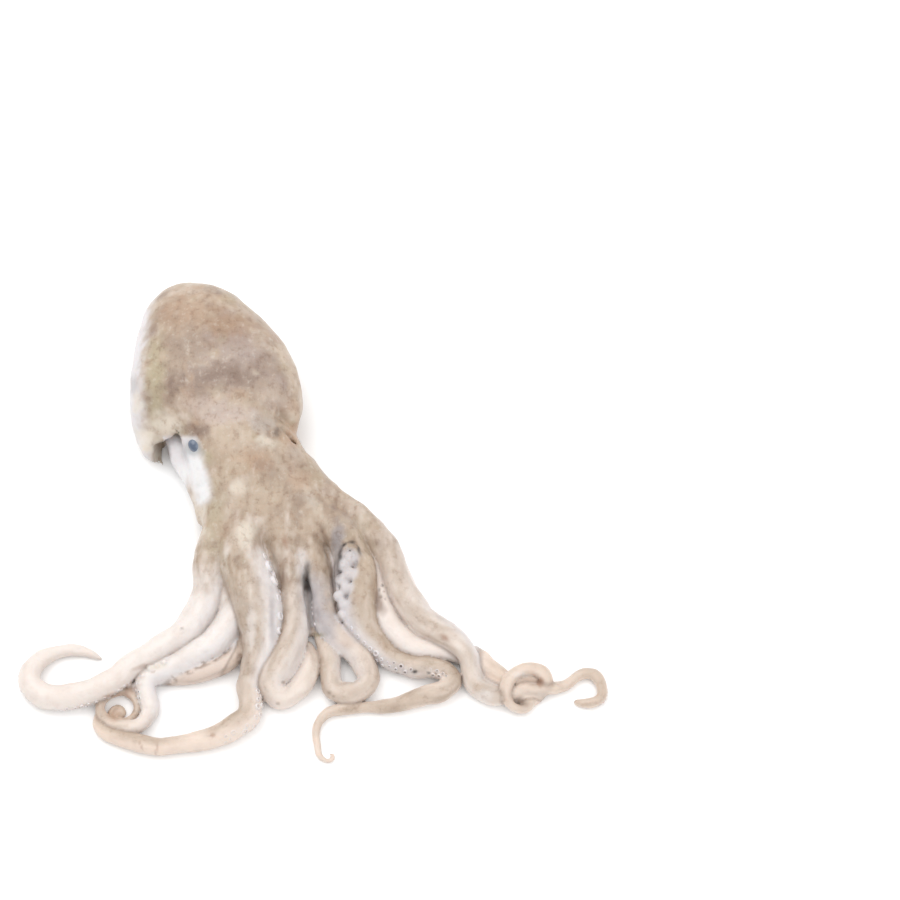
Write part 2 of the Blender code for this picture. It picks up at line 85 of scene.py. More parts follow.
def lattice_noise(points: np.ndarray, size: float, seed: int, octaves: int = 1) -> np.ndarray:
    """Smooth noise between -1 and 1 at any points.

    Args:
        points: Places, one row each.
        size: Distance between lattice points of the first octave.
        seed: Seed of the lattice values.
        octaves: How many layers, each half the size and strength of the one before.

    Returns:
        One value for each point.
    """
    values = np.random.default_rng(seed).uniform(-1.0, 1.0, 4096)
    result = np.zeros(len(points))
    for octave in range(octaves):
        place = points * (2 ** octave / size) + 17.3 * octave
        base = np.floor(place).astype(np.int64)
        t = place - base
        t = t * t * (3 - 2 * t)
        for corner in range(8):
            step = np.array([corner & 1, corner >> 1 & 1, corner >> 2 & 1])
            cell = base + step
            mixed = cell[:, 0] * 73856093 ^ cell[:, 1] * 19349663 ^ cell[:, 2] * 83492791
            weight = np.prod(np.where(step, t, 1 - t), axis=1)
            result += weight * values[(mixed ^ mixed >> 12) & 4095] * 0.5 ** octave
    return result


def soft_union(a: np.ndarray, b: np.ndarray, blend: np.ndarray | float) -> np.ndarray:
    """Join two distance fields with a fillet.

    Args:
        a: First field.
        b: Second field.
        blend: Fillet size in millimetres.

    Returns:
        The joined field.
    """
    h = np.clip(0.5 + 0.5 * (b - a) / blend, 0.0, 1.0)
    return b + (a - b) * h - blend * h * (1.0 - h)


def spline_table(stations: Stations, steps: int) -> np.ndarray:
    """Smooth rows through given rows.

    Args:
        stations: Rows that the curve passes through.
        steps: New rows from each one to the next.

    Returns:
        The rows, with the last station at the end.
    """
    rows = np.array(stations, dtype=float)
    padded = np.vstack([rows[0], rows, rows[-1]])
    dense = []
    for a, b, c, d in zip(padded, padded[1:], padded[2:], padded[3:]):
        for t in np.linspace(0.0, 1.0, steps, endpoint=False):
            dense.append(0.5 * (2 * b + (c - a) * t + (2 * a - 5 * b + 4 * c - d) * t * t
                                + (3 * b - 3 * c + d - a) * t ** 3))
    return np.array(dense + [rows[-1]])


@dataclass
class Route:
    """A resampled centre line with a radius at every point.

    Args:
        points: Centres, one row each.
        radii: Radius at each centre.
        arc: Distance travelled at each centre.
    """

    points: np.ndarray
    radii: np.ndarray
    arc: np.ndarray

    @classmethod
    def through(cls, stations: Stations, press: float = 0.9, step: float = 1.0) -> "Route":
        """Spline through given stations.

        Args:
            stations: Rows of x, y, clearance below and radius.
            press: Height of the centre as a share of the radius.
            step: Distance between resampled points.

        Returns:
            The smooth route.
        """
        rows = np.array(stations, dtype=float)
        rows[:, 2] += press * rows[:, 3]
        table = spline_table(rows, 16)
        lengths = np.linalg.norm(np.diff(table[:, :3], axis=0), axis=1)
        arc = np.concatenate([[0.0], np.cumsum(lengths)])
        even = np.linspace(0.0, arc[-1], max(int(arc[-1] / step), 4) + 1)
        columns = [np.interp(even, arc, table[:, k]) for k in range(4)]
        return cls(np.stack(columns[:3], axis=1), columns[3], even)

    def at(self, distance: np.ndarray | float) -> np.ndarray:
        """Centre at a distance from the start."""
        return np.stack([np.interp(distance, self.arc, self.points[:, k]) for k in range(3)], -1)

    def radius_at(self, distance: np.ndarray | float) -> np.ndarray:
        """Radius at a distance from the start."""
        return np.interp(distance, self.arc, self.radii)

    def forward_at(self, distance: float) -> np.ndarray:
        """Unit direction of travel at a distance from the start."""
        step = self.at(distance + 1.2) - self.at(distance - 1.2)
        return step / max(np.linalg.norm(step), 1e-6)


@dataclass(frozen=True)
class SuckerRun:
    """A stretch of an arm that carries suckers.

    Args:
        start: Distance along the arm of the first sucker.
        end: Distance of the last one.
        share: Sucker radius as a share of the arm's radius.
        lean: Angle above the horizontal at which they face, in degrees.
        sink: How deep they sit, as a share of their radius.
        ink: Darkness of the cups.
        far: Whether they face the flank opposite to the arm's usual one.
        gap: Spacing as a multiple of the radius.
        end_lean: Angle at the end of the run, where it differs.
    """

    start: float
    end: float
    share: float
    lean: float = 0.0
    sink: float = 0.3
    ink: float = 0.1
    far: bool = False
    gap: float = 1.25
    end_lean: float | None = None


@dataclass
class Arm:
    """One arm: its stations, its sucker runs and where its pigment lies.

    Args:
        name: Plain name; not used.
        stations: Rows of x, y, clearance below and radius.
        side: Flank the suckers face.
        runs: Stretches with suckers.
        back: Angle of the tan back above the sucker side's opposite horizon, in degrees.
        tan: Rows of distance and pigment strength.
        blush: Rows of distance and pinkness.
        cold: Rows of distance and bluish paleness of the sucker flank.
    """

    name: str
    stations: Stations
    side: Side
    runs: tuple[SuckerRun, ...]
    back: float = 70.0
    tan: Rows = ((0.0, 1.0), (60.0, 0.5), (100.0, 0.1))
    blush: Rows = ((0.0, 0.1), (120.0, 0.6))
    cold: Rows = ((0.0, 0.3), (90.0, 0.3), (130.0, 0.0))
    route: Route = field(init=False)

    def __post_init__(self) -> None:
        """Spline the stations once."""
        self.route = Route.through(self.stations)

    def frames(self, distance: float) -> tuple[np.ndarray, np.ndarray, np.ndarray]:
        """Forward, sucker-side and up directions at a distance along the arm."""
        forward = self.route.forward_at(distance)
        left = np.cross([0.0, 0.0, 1.0], forward)
        left /= max(np.linalg.norm(left), 1e-6)
        return forward, left * self.side.value, np.cross(forward, left)

    def lumpy_radii(self, seed: int) -> np.ndarray:
        """Radii with the slight swelling and pinching of soft flesh."""
        places = np.stack([self.route.arc, np.full(len(self.route.arc), 9.0 * seed),
                           np.zeros(len(self.route.arc))], 1)
        swell = 0.045 * lattice_noise(places, 9.0, 31) + 0.03 * lattice_noise(places, 3.4, 32)
        return self.route.radii * (1.0 + swell)


FAR_LEFT: Stations = (
    (-30, 23, 9, 5.6), (-35, 4, 5, 6.4), (-39, -13, 2, 6.6), (-39, -25, 0.5, 6.4),
    (-43, -35, 0, 6.2), (-48, -43, 0, 5.8), (-55, -48, 0, 5.2), (-61, -52, 0.5, 4.8),
    (-68, -57, 1.5, 4.8), (-74, -63, 2, 4.8), (-81, -67, 1, 4.9), (-88, -69, 0, 5.0),
    (-95, -70, 0, 5.0), (-102, -69, 0, 4.7), (-107, -64, 0, 4.3), (-107, -58, 0, 3.9),
    (-103, -53, 0, 3.3), (-97, -50, 0, 2.7), (-91, -49, 0, 2.2), (-85, -50, 0, 1.6),
    (-81, -52, 0, 0.8),
)
LEFT_RING: Stations = (
    (-29, 21, 5, 5.6), (-29, -4, 2, 6.2), (-29, -24, 0.5, 6.4), (-30, -37, 0.5, 6.0),
    (-36, -47, 0.5, 5.7), (-43, -52, 0.5, 5.3), (-49, -55.5, 0, 4.9), (-55, -58.5, 0, 4.5),
    (-60, -60.5, 0, 4.2), (-63, -64, 0, 4.0), (-61.5, -70, 0, 3.7), (-60.5, -75, 0, 3.5),
    (-63, -80, 0.5, 3.0), (-67, -82, 1, 2.7), (-73, -81.3, 1, 2.5), (-77.5, -78.7, 1, 2.3),
    (-79.7, -74.8, 1, 2.1), (-79.3, -70.5, 0.5, 2.0), (-76.3, -67.5, 0, 1.9),
    (-71.7, -66.3, 0, 1.8), (-67.6, -68.4, 0, 1.7), (-65.6, -72.6, 0, 1.6),
    (-66.8, -76.6, 0, 1.5), (-70.2, -78.6, 0, 1.4), (-74, -78.2, 0, 1.3), (-75.8, -75.7, 0, 1.2),
    (-74.6, -73.2, 0, 1.15), (-72, -72.8, 0, 1.1), (-70.7, -74.8, 0, 1.0), (-72.2, -76, 0, 0.8),
)
LONG_BEND: Stations = (
    (-26, 19, 9, 5.6), (-28, -2, 6, 7.2), (-25, -19, 3, 9.0), (-21, -31, 1, 9.6),
    (-19, -42, 0, 8.6), (-19, -50, 0, 7.2), (-21, -58, 0, 5.6), (-23, -65, 0, 4.5),
    (-22, -72, 0, 4.6), (-23, -78, 0, 4.8), (-28, -82, 0, 4.4), (-35, -86, 0, 4.2),
    (-43, -88, 0, 3.8), (-50, -89, 0, 3.5), (-57, -89.7, 0, 3.4), (-64, -88.5, 0, 3.4),
    (-71, -86.5, 0, 3.2), (-77, -84, 0, 2.9), (-80, -80.5, 0, 2.4), (-80.5, -77, 0, 1.8),
)
SHORT_HOOK: Stations = (
    (-19, 15, 9, 5.6), (-12, -2, 6, 6.0), (-8, -16, 4, 5.2), (-7, -30, 2, 5.0),
    (-6, -41, 1, 5.6), (-8, -51, 0, 6.4), (-11, -58, 0, 6.4), (-14, -64, 0, 5.6),
    (-13, -68, 0, 4.8), (-9, -70, 0, 4.3), (-5.2, -67.2, 0, 4.3), (-1.8, -62.5, 0, 4.3),
    (0.3, -57, 0, 3.9), (0.3, -51.5, 0, 3.1), (-0.6, -47, 0, 1.8),
)
MIDDLE_HOOK: Stations = (
    (-14, 15, 9, 5.2), (-4, -1, 6, 5.2), (2, -15, 3, 5.0), (5, -27, 2, 4.6),
    (6, -37, 1, 5.0), (11, -45, 0.5, 5.0), (17, -50, 0, 4.8), (21, -56, 0, 4.8),
    (23, -62, 0, 4.3), (20, -67, 0, 4.1), (15, -68, 0, 4.1), (10, -66, 0, 4.1),
    (8.3, -60, 0, 4.1), (8.2, -54.5, 0, 4.0), (6.8, -49.5, 0, 3.6), (4.8, -45, 0, 2.8),
    (3.2, -41, 0, 1.8),
)
LONG_RETURN: Stations = (
    (-9, 17, 9, 5.2), (4, 5, 6, 6.0), (13, -5, 4, 6.8), (17, -16, 2, 7.6),
    (18, -26, 1, 8.0), (19, -35, 0.5, 7.2), (22, -43, 0, 6.0), (27, -49, 0, 5.0),
    (32, -54, 0, 4.4), (40, -57, 0, 4.1), (47, -57, 0, 3.9), (53, -59, 0, 4.0),
    (55, -63, 0, 4.0), (51, -67, 0, 4.1), (46, -68, 0, 4.1), (40, -70, 0, 3.6),
    (35, -72, 0, 3.2), (29, -73, 0, 2.8), (22, -73, 0, 2.4), (14, -74, 0, 2.2),
    (8, -75, 0, 2.1), (4, -79, 0, 1.8), (3, -84, 0, 1.7), (4, -90, 0, 1.4),
    (5, -93, 0, 1.2), (8, -95, 0, 1.0), (10, -93, 0, 0.9), (9, -92, 0, 0.7),
)
UNDER_ARM: Stations = (
    (-5, 20, 3, 4.8), (11, 1, 1, 5.6), (21, -14, 0, 5.6), (25, -27, 0, 5.2),
    (28.5, -36, 0, 5.3), (33.5, -43.5, 0, 5.0), (39.5, -48.5, 0, 4.4), (47, -50, 0, 3.8),
    (54, -51, 0, 3.4), (61, -53, 0, 3.5), (67.5, -56, 0, 3.6), (73, -59.5, 0, 3.4),
    (78, -62.5, 0, 3.0), (83, -63.5, 0, 2.7), (87.5, -65.5, 0, 2.5), (90.8, -65.2, 0.8, 2.5),
    (91.3, -62.5, 2.2, 2.5), (89.8, -60, 3.6, 2.5), (86, -58.6, 4, 2.5), (81.3, -59.5, 4, 2.5),
    (77.5, -62.6, 4, 2.5), (75.8, -67, 3.5, 2.4), (76.6, -71.5, 2.5, 2.1), (79.6, -74, 1.5, 1.9),
    (83.5, -73.7, 1, 1.8), (86, -71.4, 0.5, 1.5),
)
RIGHT_EDGE: Stations = (
    (-5, 21.5, 8, 4.6), (7.2, 13.4, 4, 5.4), (19, 4, 2, 5.9), (28, -7, 1, 6.0),
    (33, -18, 0.5, 5.8), (37, -28, 0, 6.0), (42, -36, 0, 6.0), (49, -42, 1, 5.6),
    (56, -47, 2.5, 5.0), (61, -53, 2.5, 4.4), (62.5, -59, 1, 4.1), (64.5, -65, 0, 4.0),
    (69.5, -68.3, 0, 3.9), (74.5, -69, 0, 3.4), (78.7, -68, 0.5, 2.8), (83, -66.4, 1.6, 2.6),
    (87.8, -66.8, 2, 2.5), (92.3, -65.8, 1, 2.4), (96.5, -64.6, 0, 2.2), (100, -63, 0, 2.1),
    (103.5, -60, 0, 2.2), (107, -58.7, 0, 2.2), (110.5, -60, 0, 2.2), (112.6, -64, 0, 2.2),
    (112.5, -69, 0, 2.1), (109, -71, 0, 1.9), (105, -71, 0, 1.6), (103, -70.5, 0, 1.1),
)
SKIN_FOLD: Stations = (
    (-26, -44, 0, 3.6), (-28, -50.5, 0, 3.7), (-31.5, -54.8, 0, 3.8), (-37, -57.5, 0, 3.7),
    (-42.5, -59.5, 0, 3.6), (-48, -60.7, 0, 3.1), (-54, -61, 0, 2.6), (-58, -61, 0, 2.0),
)
LOBE: Stations = ((64, -50, 1, 2.2), (67.3, -53.5, 1, 2.8), (67.8, -57, 0.5, 2.6),
                  (66.3, -60.5, 0, 2.0))


@dataclass
class ArmCrown:
    """The eight arms and the webs between neighbours.

    Args:
        webs: Rows of first arm, second arm, reach along each and hang of the free edge.
        gussets: Low skin in slits: first arm, second, start, end, lead of the second, height.
        arms: The eight arms, from left to right.
        fold: Loose skin along the low side of the ring arm.
        lobe: Small lobe beside the right-hand arm.
    """

    webs: tuple[tuple[int, int, float, float, float], ...] = (
        (0, 1, 56.0, 58.0, 0.22), (1, 2, 66.0, 66.0, 0.2), (2, 3, 74.0, 68.0, 0.15),
        (3, 4, 30.0, 30.0, 0.12), (4, 5, 46.0, 40.0, 0.16), (5, 6, 60.0, 58.0, 0.2),
        (6, 7, 58.0, 64.0, 0.2),
    )
    gussets: tuple[tuple[int, int, float, float, float, float], ...] = (
        (3, 4, 30.0, 60.0, 1.0, 1.2), (6, 7, 56.0, 96.0, -2.0, 4.2), (6, 7, 96.0, 128.0, 1.0, 2.6),
        (4, 5, 38.0, 60.0, 0.0, 4.6), (0, 1, 48.0, 74.0, -1.0, 5.0),
    )
    arms: list[Arm] = field(default_factory=lambda: [
        Arm("far_left", FAR_LEFT, Side.LEFT, (SuckerRun(100, 150, 0.17, -14, 0.5, 0.3, gap=1.6),), 90.0,
            ((0, 1.0), (40, 0.8), (48, 0.45), (58, 0.2), (80, 0.12), (200, 0.08)),
            ((0, 0.0), (60, 0.1), (90, 0.25), (110, 0.35), (180, 0.35)),
            ((0, 0.3), (60, 0.6), (90, 0.1), (180, 0.0))),
        Arm("left_ring", LEFT_RING, Side.LEFT,
            (SuckerRun(60, 92, 0.16, -16, 0.55, 0.9, gap=1.8),
             SuckerRun(98, 126, 0.2, 22, 0.6, 0.9, True, 1.7)), 105.0,
            ((0, 1.0), (45, 0.8), (58, 0.25), (70, 0.15), (112, 0.15), (124, 0.4), (150, 0.4), (165, 0.6),
             (190, 0.7)),
            ((0, 0.0), (60, 0.1), (104, 0.0), (122, 0.5), (136, 0.9), (190, 1.0)),
            ((0, 0.3), (60, 0.7), (110, 0.8), (128, 0.0))),
        Arm("long_bend", LONG_BEND, Side.LEFT,
            (SuckerRun(34, 76, 0.27, 6, 0.42, 0.05, gap=1.3),
             SuckerRun(88, 113, 0.28, 30, 0.45, 0.12, gap=1.2)), 38.0,
            ((0, 0.9), (60, 0.72), (88, 0.55), (104, 0.62), (122, 0.35), (145, 0.6), (170, 0.65)),
            ((0, 0.0), (70, 0.2), (100, 0.8), (170, 1.0)),
            ((0, 0.8), (78, 0.9), (92, 0.3), (110, 0.0))),
        Arm("short_hook", SHORT_HOOK, Side.LEFT, (), 75.0,
            ((0, 1.0), (42, 0.66), (60, 0.6), (76, 0.6), (90, 0.2), (104, 0.3), (120, 0.4)),
            ((0, 0.0), (60, 0.3), (90, 0.5), (120, 0.6)),
            ((0, 0.6), (80, 0.5), (95, 0.2), (120, 0.2))),
        Arm("middle_hook", MIDDLE_HOOK, Side.RIGHT,
            (SuckerRun(50, 66, 0.18, -6, 0.6, 0.3, gap=1.7),), 70.0,
            ((0, 1.0), (38, 0.8), (52, 0.5), (66, 0.4), (84, 0.45), (100, 0.5), (116, 0.65), (130, 0.6)),
            ((0, 0.0), (60, 0.3), (85, 0.6), (130, 0.6)),
            ((0, 0.9), (62, 1.0), (80, 0.4), (100, 0.1), (112, 0.4), (130, 0.5))),
        Arm("long_return", LONG_RETURN, Side.RIGHT,
            (SuckerRun(64, 86, 0.22, 20, 0.5, 0.1, gap=1.35, end_lean=30),
             SuckerRun(87, 112, 0.24, 42, 0.42, 1.0, gap=1.9)), 60.0,
            ((0, 1.0), (56, 0.85), (74, 0.75), (100, 0.75), (116, 0.45), (150, 0.7), (180, 0.35)),
            ((0, 0.0), (70, 0.3), (110, 0.7), (190, 0.9)),
            ((0, 0.9), (84, 0.9), (100, 0.3), (116, 0.0))),
        Arm("under_arm", UNDER_ARM, Side.RIGHT, (SuckerRun(60, 90, 0.14, -52, 0.4, 0.2),), 80.0,
            ((0, 0.6), (46, 0.2), (60, 0.08), (104, 0.1), (116, 0.3), (140, 0.3), (182, 0.5)),
            ((0, 0.0), (60, 0.4), (104, 0.4), (116, 1.0), (182, 0.8)),
            ((0, 0.4), (60, 0.4), (112, 0.4), (118, 0.0))),
        Arm("right_edge", RIGHT_EDGE, Side.LEFT, (SuckerRun(30, 78, 0.16, -50, 0.4, 0.15),
                                                  SuckerRun(150, 180, 0.2, -30, 0.5, 0.4)), 90.0,
            ((0, 1.0), (40, 0.75), (62, 0.5), (80, 0.45), (90, 0.6), (97, 0.45), (118, 0.62),
             (140, 0.4), (160, 0.5), (186, 0.6)),
            ((0, 0.0), (50, 0.4), (90, 0.4), (120, 0.4), (140, 0.9), (190, 0.9)),
            ((0, 0.1), (70, 0.2), (94, 0.8), (106, 0.6), (116, 0.3), (190, 0.0))),
    ])
    fold: Route = field(default_factory=lambda: Route.through(SKIN_FOLD))
    lobe: Route = field(default_factory=lambda: Route.through(LOBE))

    def web_ribs(self) -> list[tuple[np.ndarray, np.ndarray]]:
        """Cross lines of each web from arm to arm.

        Returns:
            Pairs of points and thickness radii, one pair for each rib.
        """
        ribs = []
        share = np.linspace(0.0, 1.0, 7)
        bow = np.sin(math.pi * share)
        for first, second, reach_a, reach_b, hang in self.webs:
            a, b = self.arms[first].route, self.arms[second].route
            for t in np.linspace(0.04, 1.0, int(max(reach_a, reach_b) / 1.4)):
                tuck = t * (1.0 - hang * bow)
                left = a.at(reach_a * tuck)
                right = b.at(reach_b * tuck)
                points = left + (right - left) * share[:, None]
                lift = a.radius_at(reach_a * t) * (1 - share) + b.radius_at(reach_b * t) * share
                points[:, 2] += lift * (0.35 - 0.75 * bow)
                ribs.append((points, np.full(len(points), 1.9)))
        for first, second, start, end, lead, lift in self.gussets:
            a, b = self.arms[first].route, self.arms[second].route
            for reach in np.arange(start, end, 1.4):
                points = a.at(reach) + (b.at(reach + lead) - a.at(reach)) * share[:, None]
                points[:, 2] = lift + 6.0 * smooth_interval(40.0, 28.0, reach)
                ribs.append((points, np.full(len(points), 1.9)))
        return ribs


@dataclass
class MantleShape:
    """Sections of the body sac, from the closed end to the collar.

    Args:
        height: Height of the tallest section.
        sections: Rows of y, left x, right x and share of the height.
        lip: Thickness of the collar.
        collar: Where the collar is cut: y at the floor, and how far back it leans per height.
    """

    height: float = 35.0
    lip: float = 2.3
    collar: tuple[float, float] = (31.4, 0.34)
    sections: tuple[tuple[float, float, float, float], ...] = (
        (107.8, -53.0, -51.0, 0.40), (107.3, -56.0, -48.0, 0.44), (106.3, -59.5, -43.0, 0.53),
        (104.5, -62.5, -36.0, 0.63), (101.0, -65.5, -30.5, 0.73), (94.0, -69.0, -24.0, 0.85),
        (84.0, -71.0, -15.5, 0.94), (74.0, -72.0, -9.5, 1.00), (64.0, -73.0, -6.0, 1.00),
        (54.0, -73.0, -4.2, 0.96), (46.0, -72.0, -5.0, 0.90), (40.0, -70.5, -7.0, 0.81),
        (34.0, -67.5, -9.5, 0.70), (26.0, -61.0, -13.0, 0.52), (16.0, -54.0, -18.0, 0.30),
    )

    def profile(self, y: np.ndarray) -> tuple[np.ndarray, np.ndarray, np.ndarray]:
        """Middle, half width and height of the sac at each y."""
        table = spline_table(self.sections[::-1], 12)
        left = np.interp(y, table[:, 0], table[:, 1])
        right = np.interp(y, table[:, 0], table[:, 2])
        top = np.interp(y, table[:, 0], table[:, 3]) * self.height
        return (left + right) / 2, np.maximum((right - left) / 2, 0.4), np.maximum(top, 1.0)

    def field(self, x: np.ndarray, y: np.ndarray, z: np.ndarray, inset: float) -> np.ndarray:
        """Distance to the sac's wall, moved inwards by inset; arrays broadcast together."""
        middle, half, top = self.profile(y)
        slump = smooth_interval(54.0, 34.0, y) * smooth_interval(-44.0, -62.0, x)
        top = top * (1.0 - 0.34 * slump)
        half = np.maximum(half - inset, 0.3)
        crest = np.maximum(top - inset, 0.6)
        waist = top * 0.42
        u = (x - middle) / half
        v = np.where(z > waist, (z - waist) / np.maximum(crest - waist, 0.3),
                     (z - waist) / (waist + 3.0))
        value = (np.abs(u) ** 2.15 + np.abs(v) ** 2.15) ** (1 / 2.15) - 1.0
        return value


@dataclass
class FleshField:
    """Distance field of the whole animal on a regular grid.

    Args:
        pitch: Grid spacing.
        low: Lowest corner of the grid.
        high: Highest corner of the grid.
    """

    pitch: float = 0.75
    low: Triple = (-118.0, -101.0, -2.4)
    high: Triple = (119.0, 111.0, 39.0)
    values: np.ndarray = field(init=False)
    axes: list[np.ndarray] = field(init=False)

    def __post_init__(self) -> None:
        """Start with empty space."""
        self.axes = [np.arange(a, b, self.pitch, dtype=np.float32)
                     for a, b in zip(self.low, self.high)]
        self.values = np.full([len(a) for a in self.axes], 12.0, dtype=np.float32)

    def window(self, low: np.ndarray, high: np.ndarray) -> tuple[slice, ...]:
        """Index ranges that cover a box."""
        result = []
        for axis, a, b in zip(self.axes, low, high):
            start = int(np.clip((a - axis[0]) / self.pitch, 0, len(axis)))
            stop = int(np.clip((b - axis[0]) / self.pitch + 2, 0, len(axis)))
            result.append(slice(start, stop))
        return tuple(result)

    def grid(self, window: tuple[slice, ...]) -> tuple[np.ndarray, np.ndarray, np.ndarray]:
        """Broadcastable coordinates of a window."""
        x, y, z = (axis[part] for axis, part in zip(self.axes, window))
        return x[:, None, None], y[None, :, None], z[None, None, :]

    def chain(self, points: np.ndarray, radii: np.ndarray, pad: float,
              columns: bool = False) -> tuple[tuple[slice, ...], np.ndarray]:
        """Field of a tapered chain, computed only near it.

        Args:
            points: Centres of the chain.
            radii: Radius at each centre.
            pad: Margin round each link.
            columns: Whether everything under the chain counts as inside it.

        Returns:
            The window that holds the chain and its field there.
        """
        reach = radii.max() + pad
        low, high = points.min(0) - reach, points.max(0) + reach
        if columns:
            low[2] = self.low[2]
        whole = self.window(low, high)
        result = np.full([part.stop - part.start for part in whole], 12.0, dtype=np.float32)
        for a, b, ra, rb in zip(points, points[1:], radii, radii[1:]):
            edge = max(ra, rb) + pad
            near_low, near_high = np.minimum(a, b) - edge, np.maximum(a, b) + edge
            if columns:
                near_low[2] = self.low[2]
            near = self.window(near_low, near_high)
            if any(part.stop <= part.start for part in near):
                continue
            x, y, z = self.grid(near)
            d = (b - a).astype(np.float32)
            if columns:
                t = ((x - a[0]) * d[0] + (y - a[1]) * d[1]) / max(d[0] ** 2 + d[1] ** 2, 1e-9)
            else:
                t = ((x - a[0]) * d[0] + (y - a[1]) * d[1] + (z - a[2]) * d[2]) / max(d @ d, 1e-9)
            t = np.clip(t, 0.0, 1.0)
            rise = z - a[2] - t * d[2]
            if columns:
                rise = np.maximum(rise, 0.0)
            gap = np.sqrt((x - a[0] - t * d[0]) ** 2 + (y - a[1] - t * d[1]) ** 2 + rise ** 2)
            gap = gap - (ra + (rb - ra) * t)
            inner = tuple(slice(n.start - w.start, n.stop - w.start) for n, w in zip(near, whole))
            result[inner] = np.minimum(result[inner], gap)
        return whole, result

    def join(self, window: tuple[slice, ...], other: np.ndarray, blend: np.ndarray | float) -> None:
        """Blend another field into this one."""
        self.values[window] = soft_union(self.values[window], other, blend)

    def cut(self, window: tuple[slice, ...], other: np.ndarray, blend: float) -> None:
        """Carve another field out of this one with a rounded rim."""
        self.values[window] = -soft_union(-self.values[window], other, blend)

    def ball(self, centre: Triple, radii: Triple,
             pad: float = 6.0) -> tuple[tuple[slice, ...], np.ndarray]:
        """Field of an ellipsoid."""
        middle, size = np.array(centre), np.array(radii)
        window = self.window(middle - size - pad, middle + size + pad)
        x, y, z = self.grid(window)
        p = [(c - m) / r for c, m, r in zip((x, y, z), middle, size)]
        near = np.sqrt(p[0] ** 2 + p[1] ** 2 + p[2] ** 2)
        steep = np.sqrt((p[0] / size[0]) ** 2 + (p[1] / size[1]) ** 2 + (p[2] / size[2]) ** 2)
        return window, (near * (near - 1.0) / np.maximum(steep, 1e-4)).astype(np.float32)

    def add_noise(self, size: float, depth: float, seed: int) -> None:
        """Push the surface in and out with smooth lattice noise.

        Args:
            size: Distance between lattice points.
            depth: Greatest push.
            seed: Seed of the lattice.
        """
        rng = np.random.default_rng(seed)
        shape = [int((axis[-1] - axis[0]) / size) + 4 for axis in self.axes]
        lattice = rng.uniform(-1.0, 1.0, shape).astype(np.float32)
        for k, axis in enumerate(self.axes):
            place = (axis - axis[0]) / size
            base = place.astype(int)
            t = place - base
            t = (t * t * (3 - 2 * t)).astype(np.float32)
            shape_t = [1, 1, 1]
            shape_t[k] = len(t)
            t = t.reshape(shape_t)
            lattice = np.take(lattice, base, axis=k) * (1 - t) + np.take(lattice, base + 1, axis=k) * t
        self.values += lattice * depth

    def surface(self) -> tuple[np.ndarray, np.ndarray]:
        """Closed quad mesh of the zero level, by surface nets.

        Returns:
            Vertex positions in millimetres and quads of vertex indices.
        """
        v = self.values
        inside = v < 0
        corners = [(i, j, k) for i in (0, 1) for j in (0, 1) for k in (0, 1)]
        size = [n - 1 for n in v.shape]
        total = np.zeros(size, dtype=np.int8)
        for i, j, k in corners:
            total += inside[i:i + size[0], j:j + size[1], k:k + size[2]]
        cells = np.argwhere((total > 0) & (total < 8))
        sample = np.stack([v[cells[:, 0] + i, cells[:, 1] + j, cells[:, 2] + k]
                           for i, j, k in corners], 1)
        place = np.zeros((len(cells), 3))
        count = np.zeros(len(cells))
        for a in range(8):
            for b in range(a + 1, 8):
                step = np.array(corners[b]) - np.array(corners[a])
                if np.abs(step).sum() != 1:
                    continue
                fa, fb = sample[:, a], sample[:, b]
                crosses = (fa < 0) != (fb < 0)
                t = np.where(crosses, fa / np.where(crosses, fa - fb, 1.0), 0.0)
                point = np.array(corners[a]) + t[:, None] * step
                place += np.where(crosses[:, None], point, 0.0)
                count += crosses
        start = np.array([axis[0] for axis in self.axes])
        points = start + (cells + place / count[:, None]) * self.pitch
        index = np.full(size, -1, dtype=np.int32)
        index[cells[:, 0], cells[:, 1], cells[:, 2]] = np.arange(len(cells))
        quads = []
        for k in range(3):
            ahead = [slice(None)] * 3
            behind = [slice(None)] * 3
            ahead[k], behind[k] = slice(1, None), slice(None, -1)
            first, second = inside[tuple(behind)], inside[tuple(ahead)]
            for flip, mask in ((False, first & ~second), (True, ~first & second)):
                edge = np.argwhere(mask)
                m, n = (k + 1) % 3, (k + 2) % 3
                good = (edge[:, m] > 0) & (edge[:, n] > 0)
                good &= (edge[:, m] < size[m]) & (edge[:, n] < size[n])
                edge = edge[good]
                loop = []
                for dm, dn in ((1, 1), (0, 1), (0, 0), (1, 0)):
                    cell = edge.copy()
                    cell[:, m] -= dm
                    cell[:, n] -= dn
                    loop.append(index[cell[:, 0], cell[:, 1], cell[:, 2]])
                quad = np.stack(loop, 1)
                quads.append(quad[:, ::-1] if flip else quad)
        return points, np.vstack(quads)


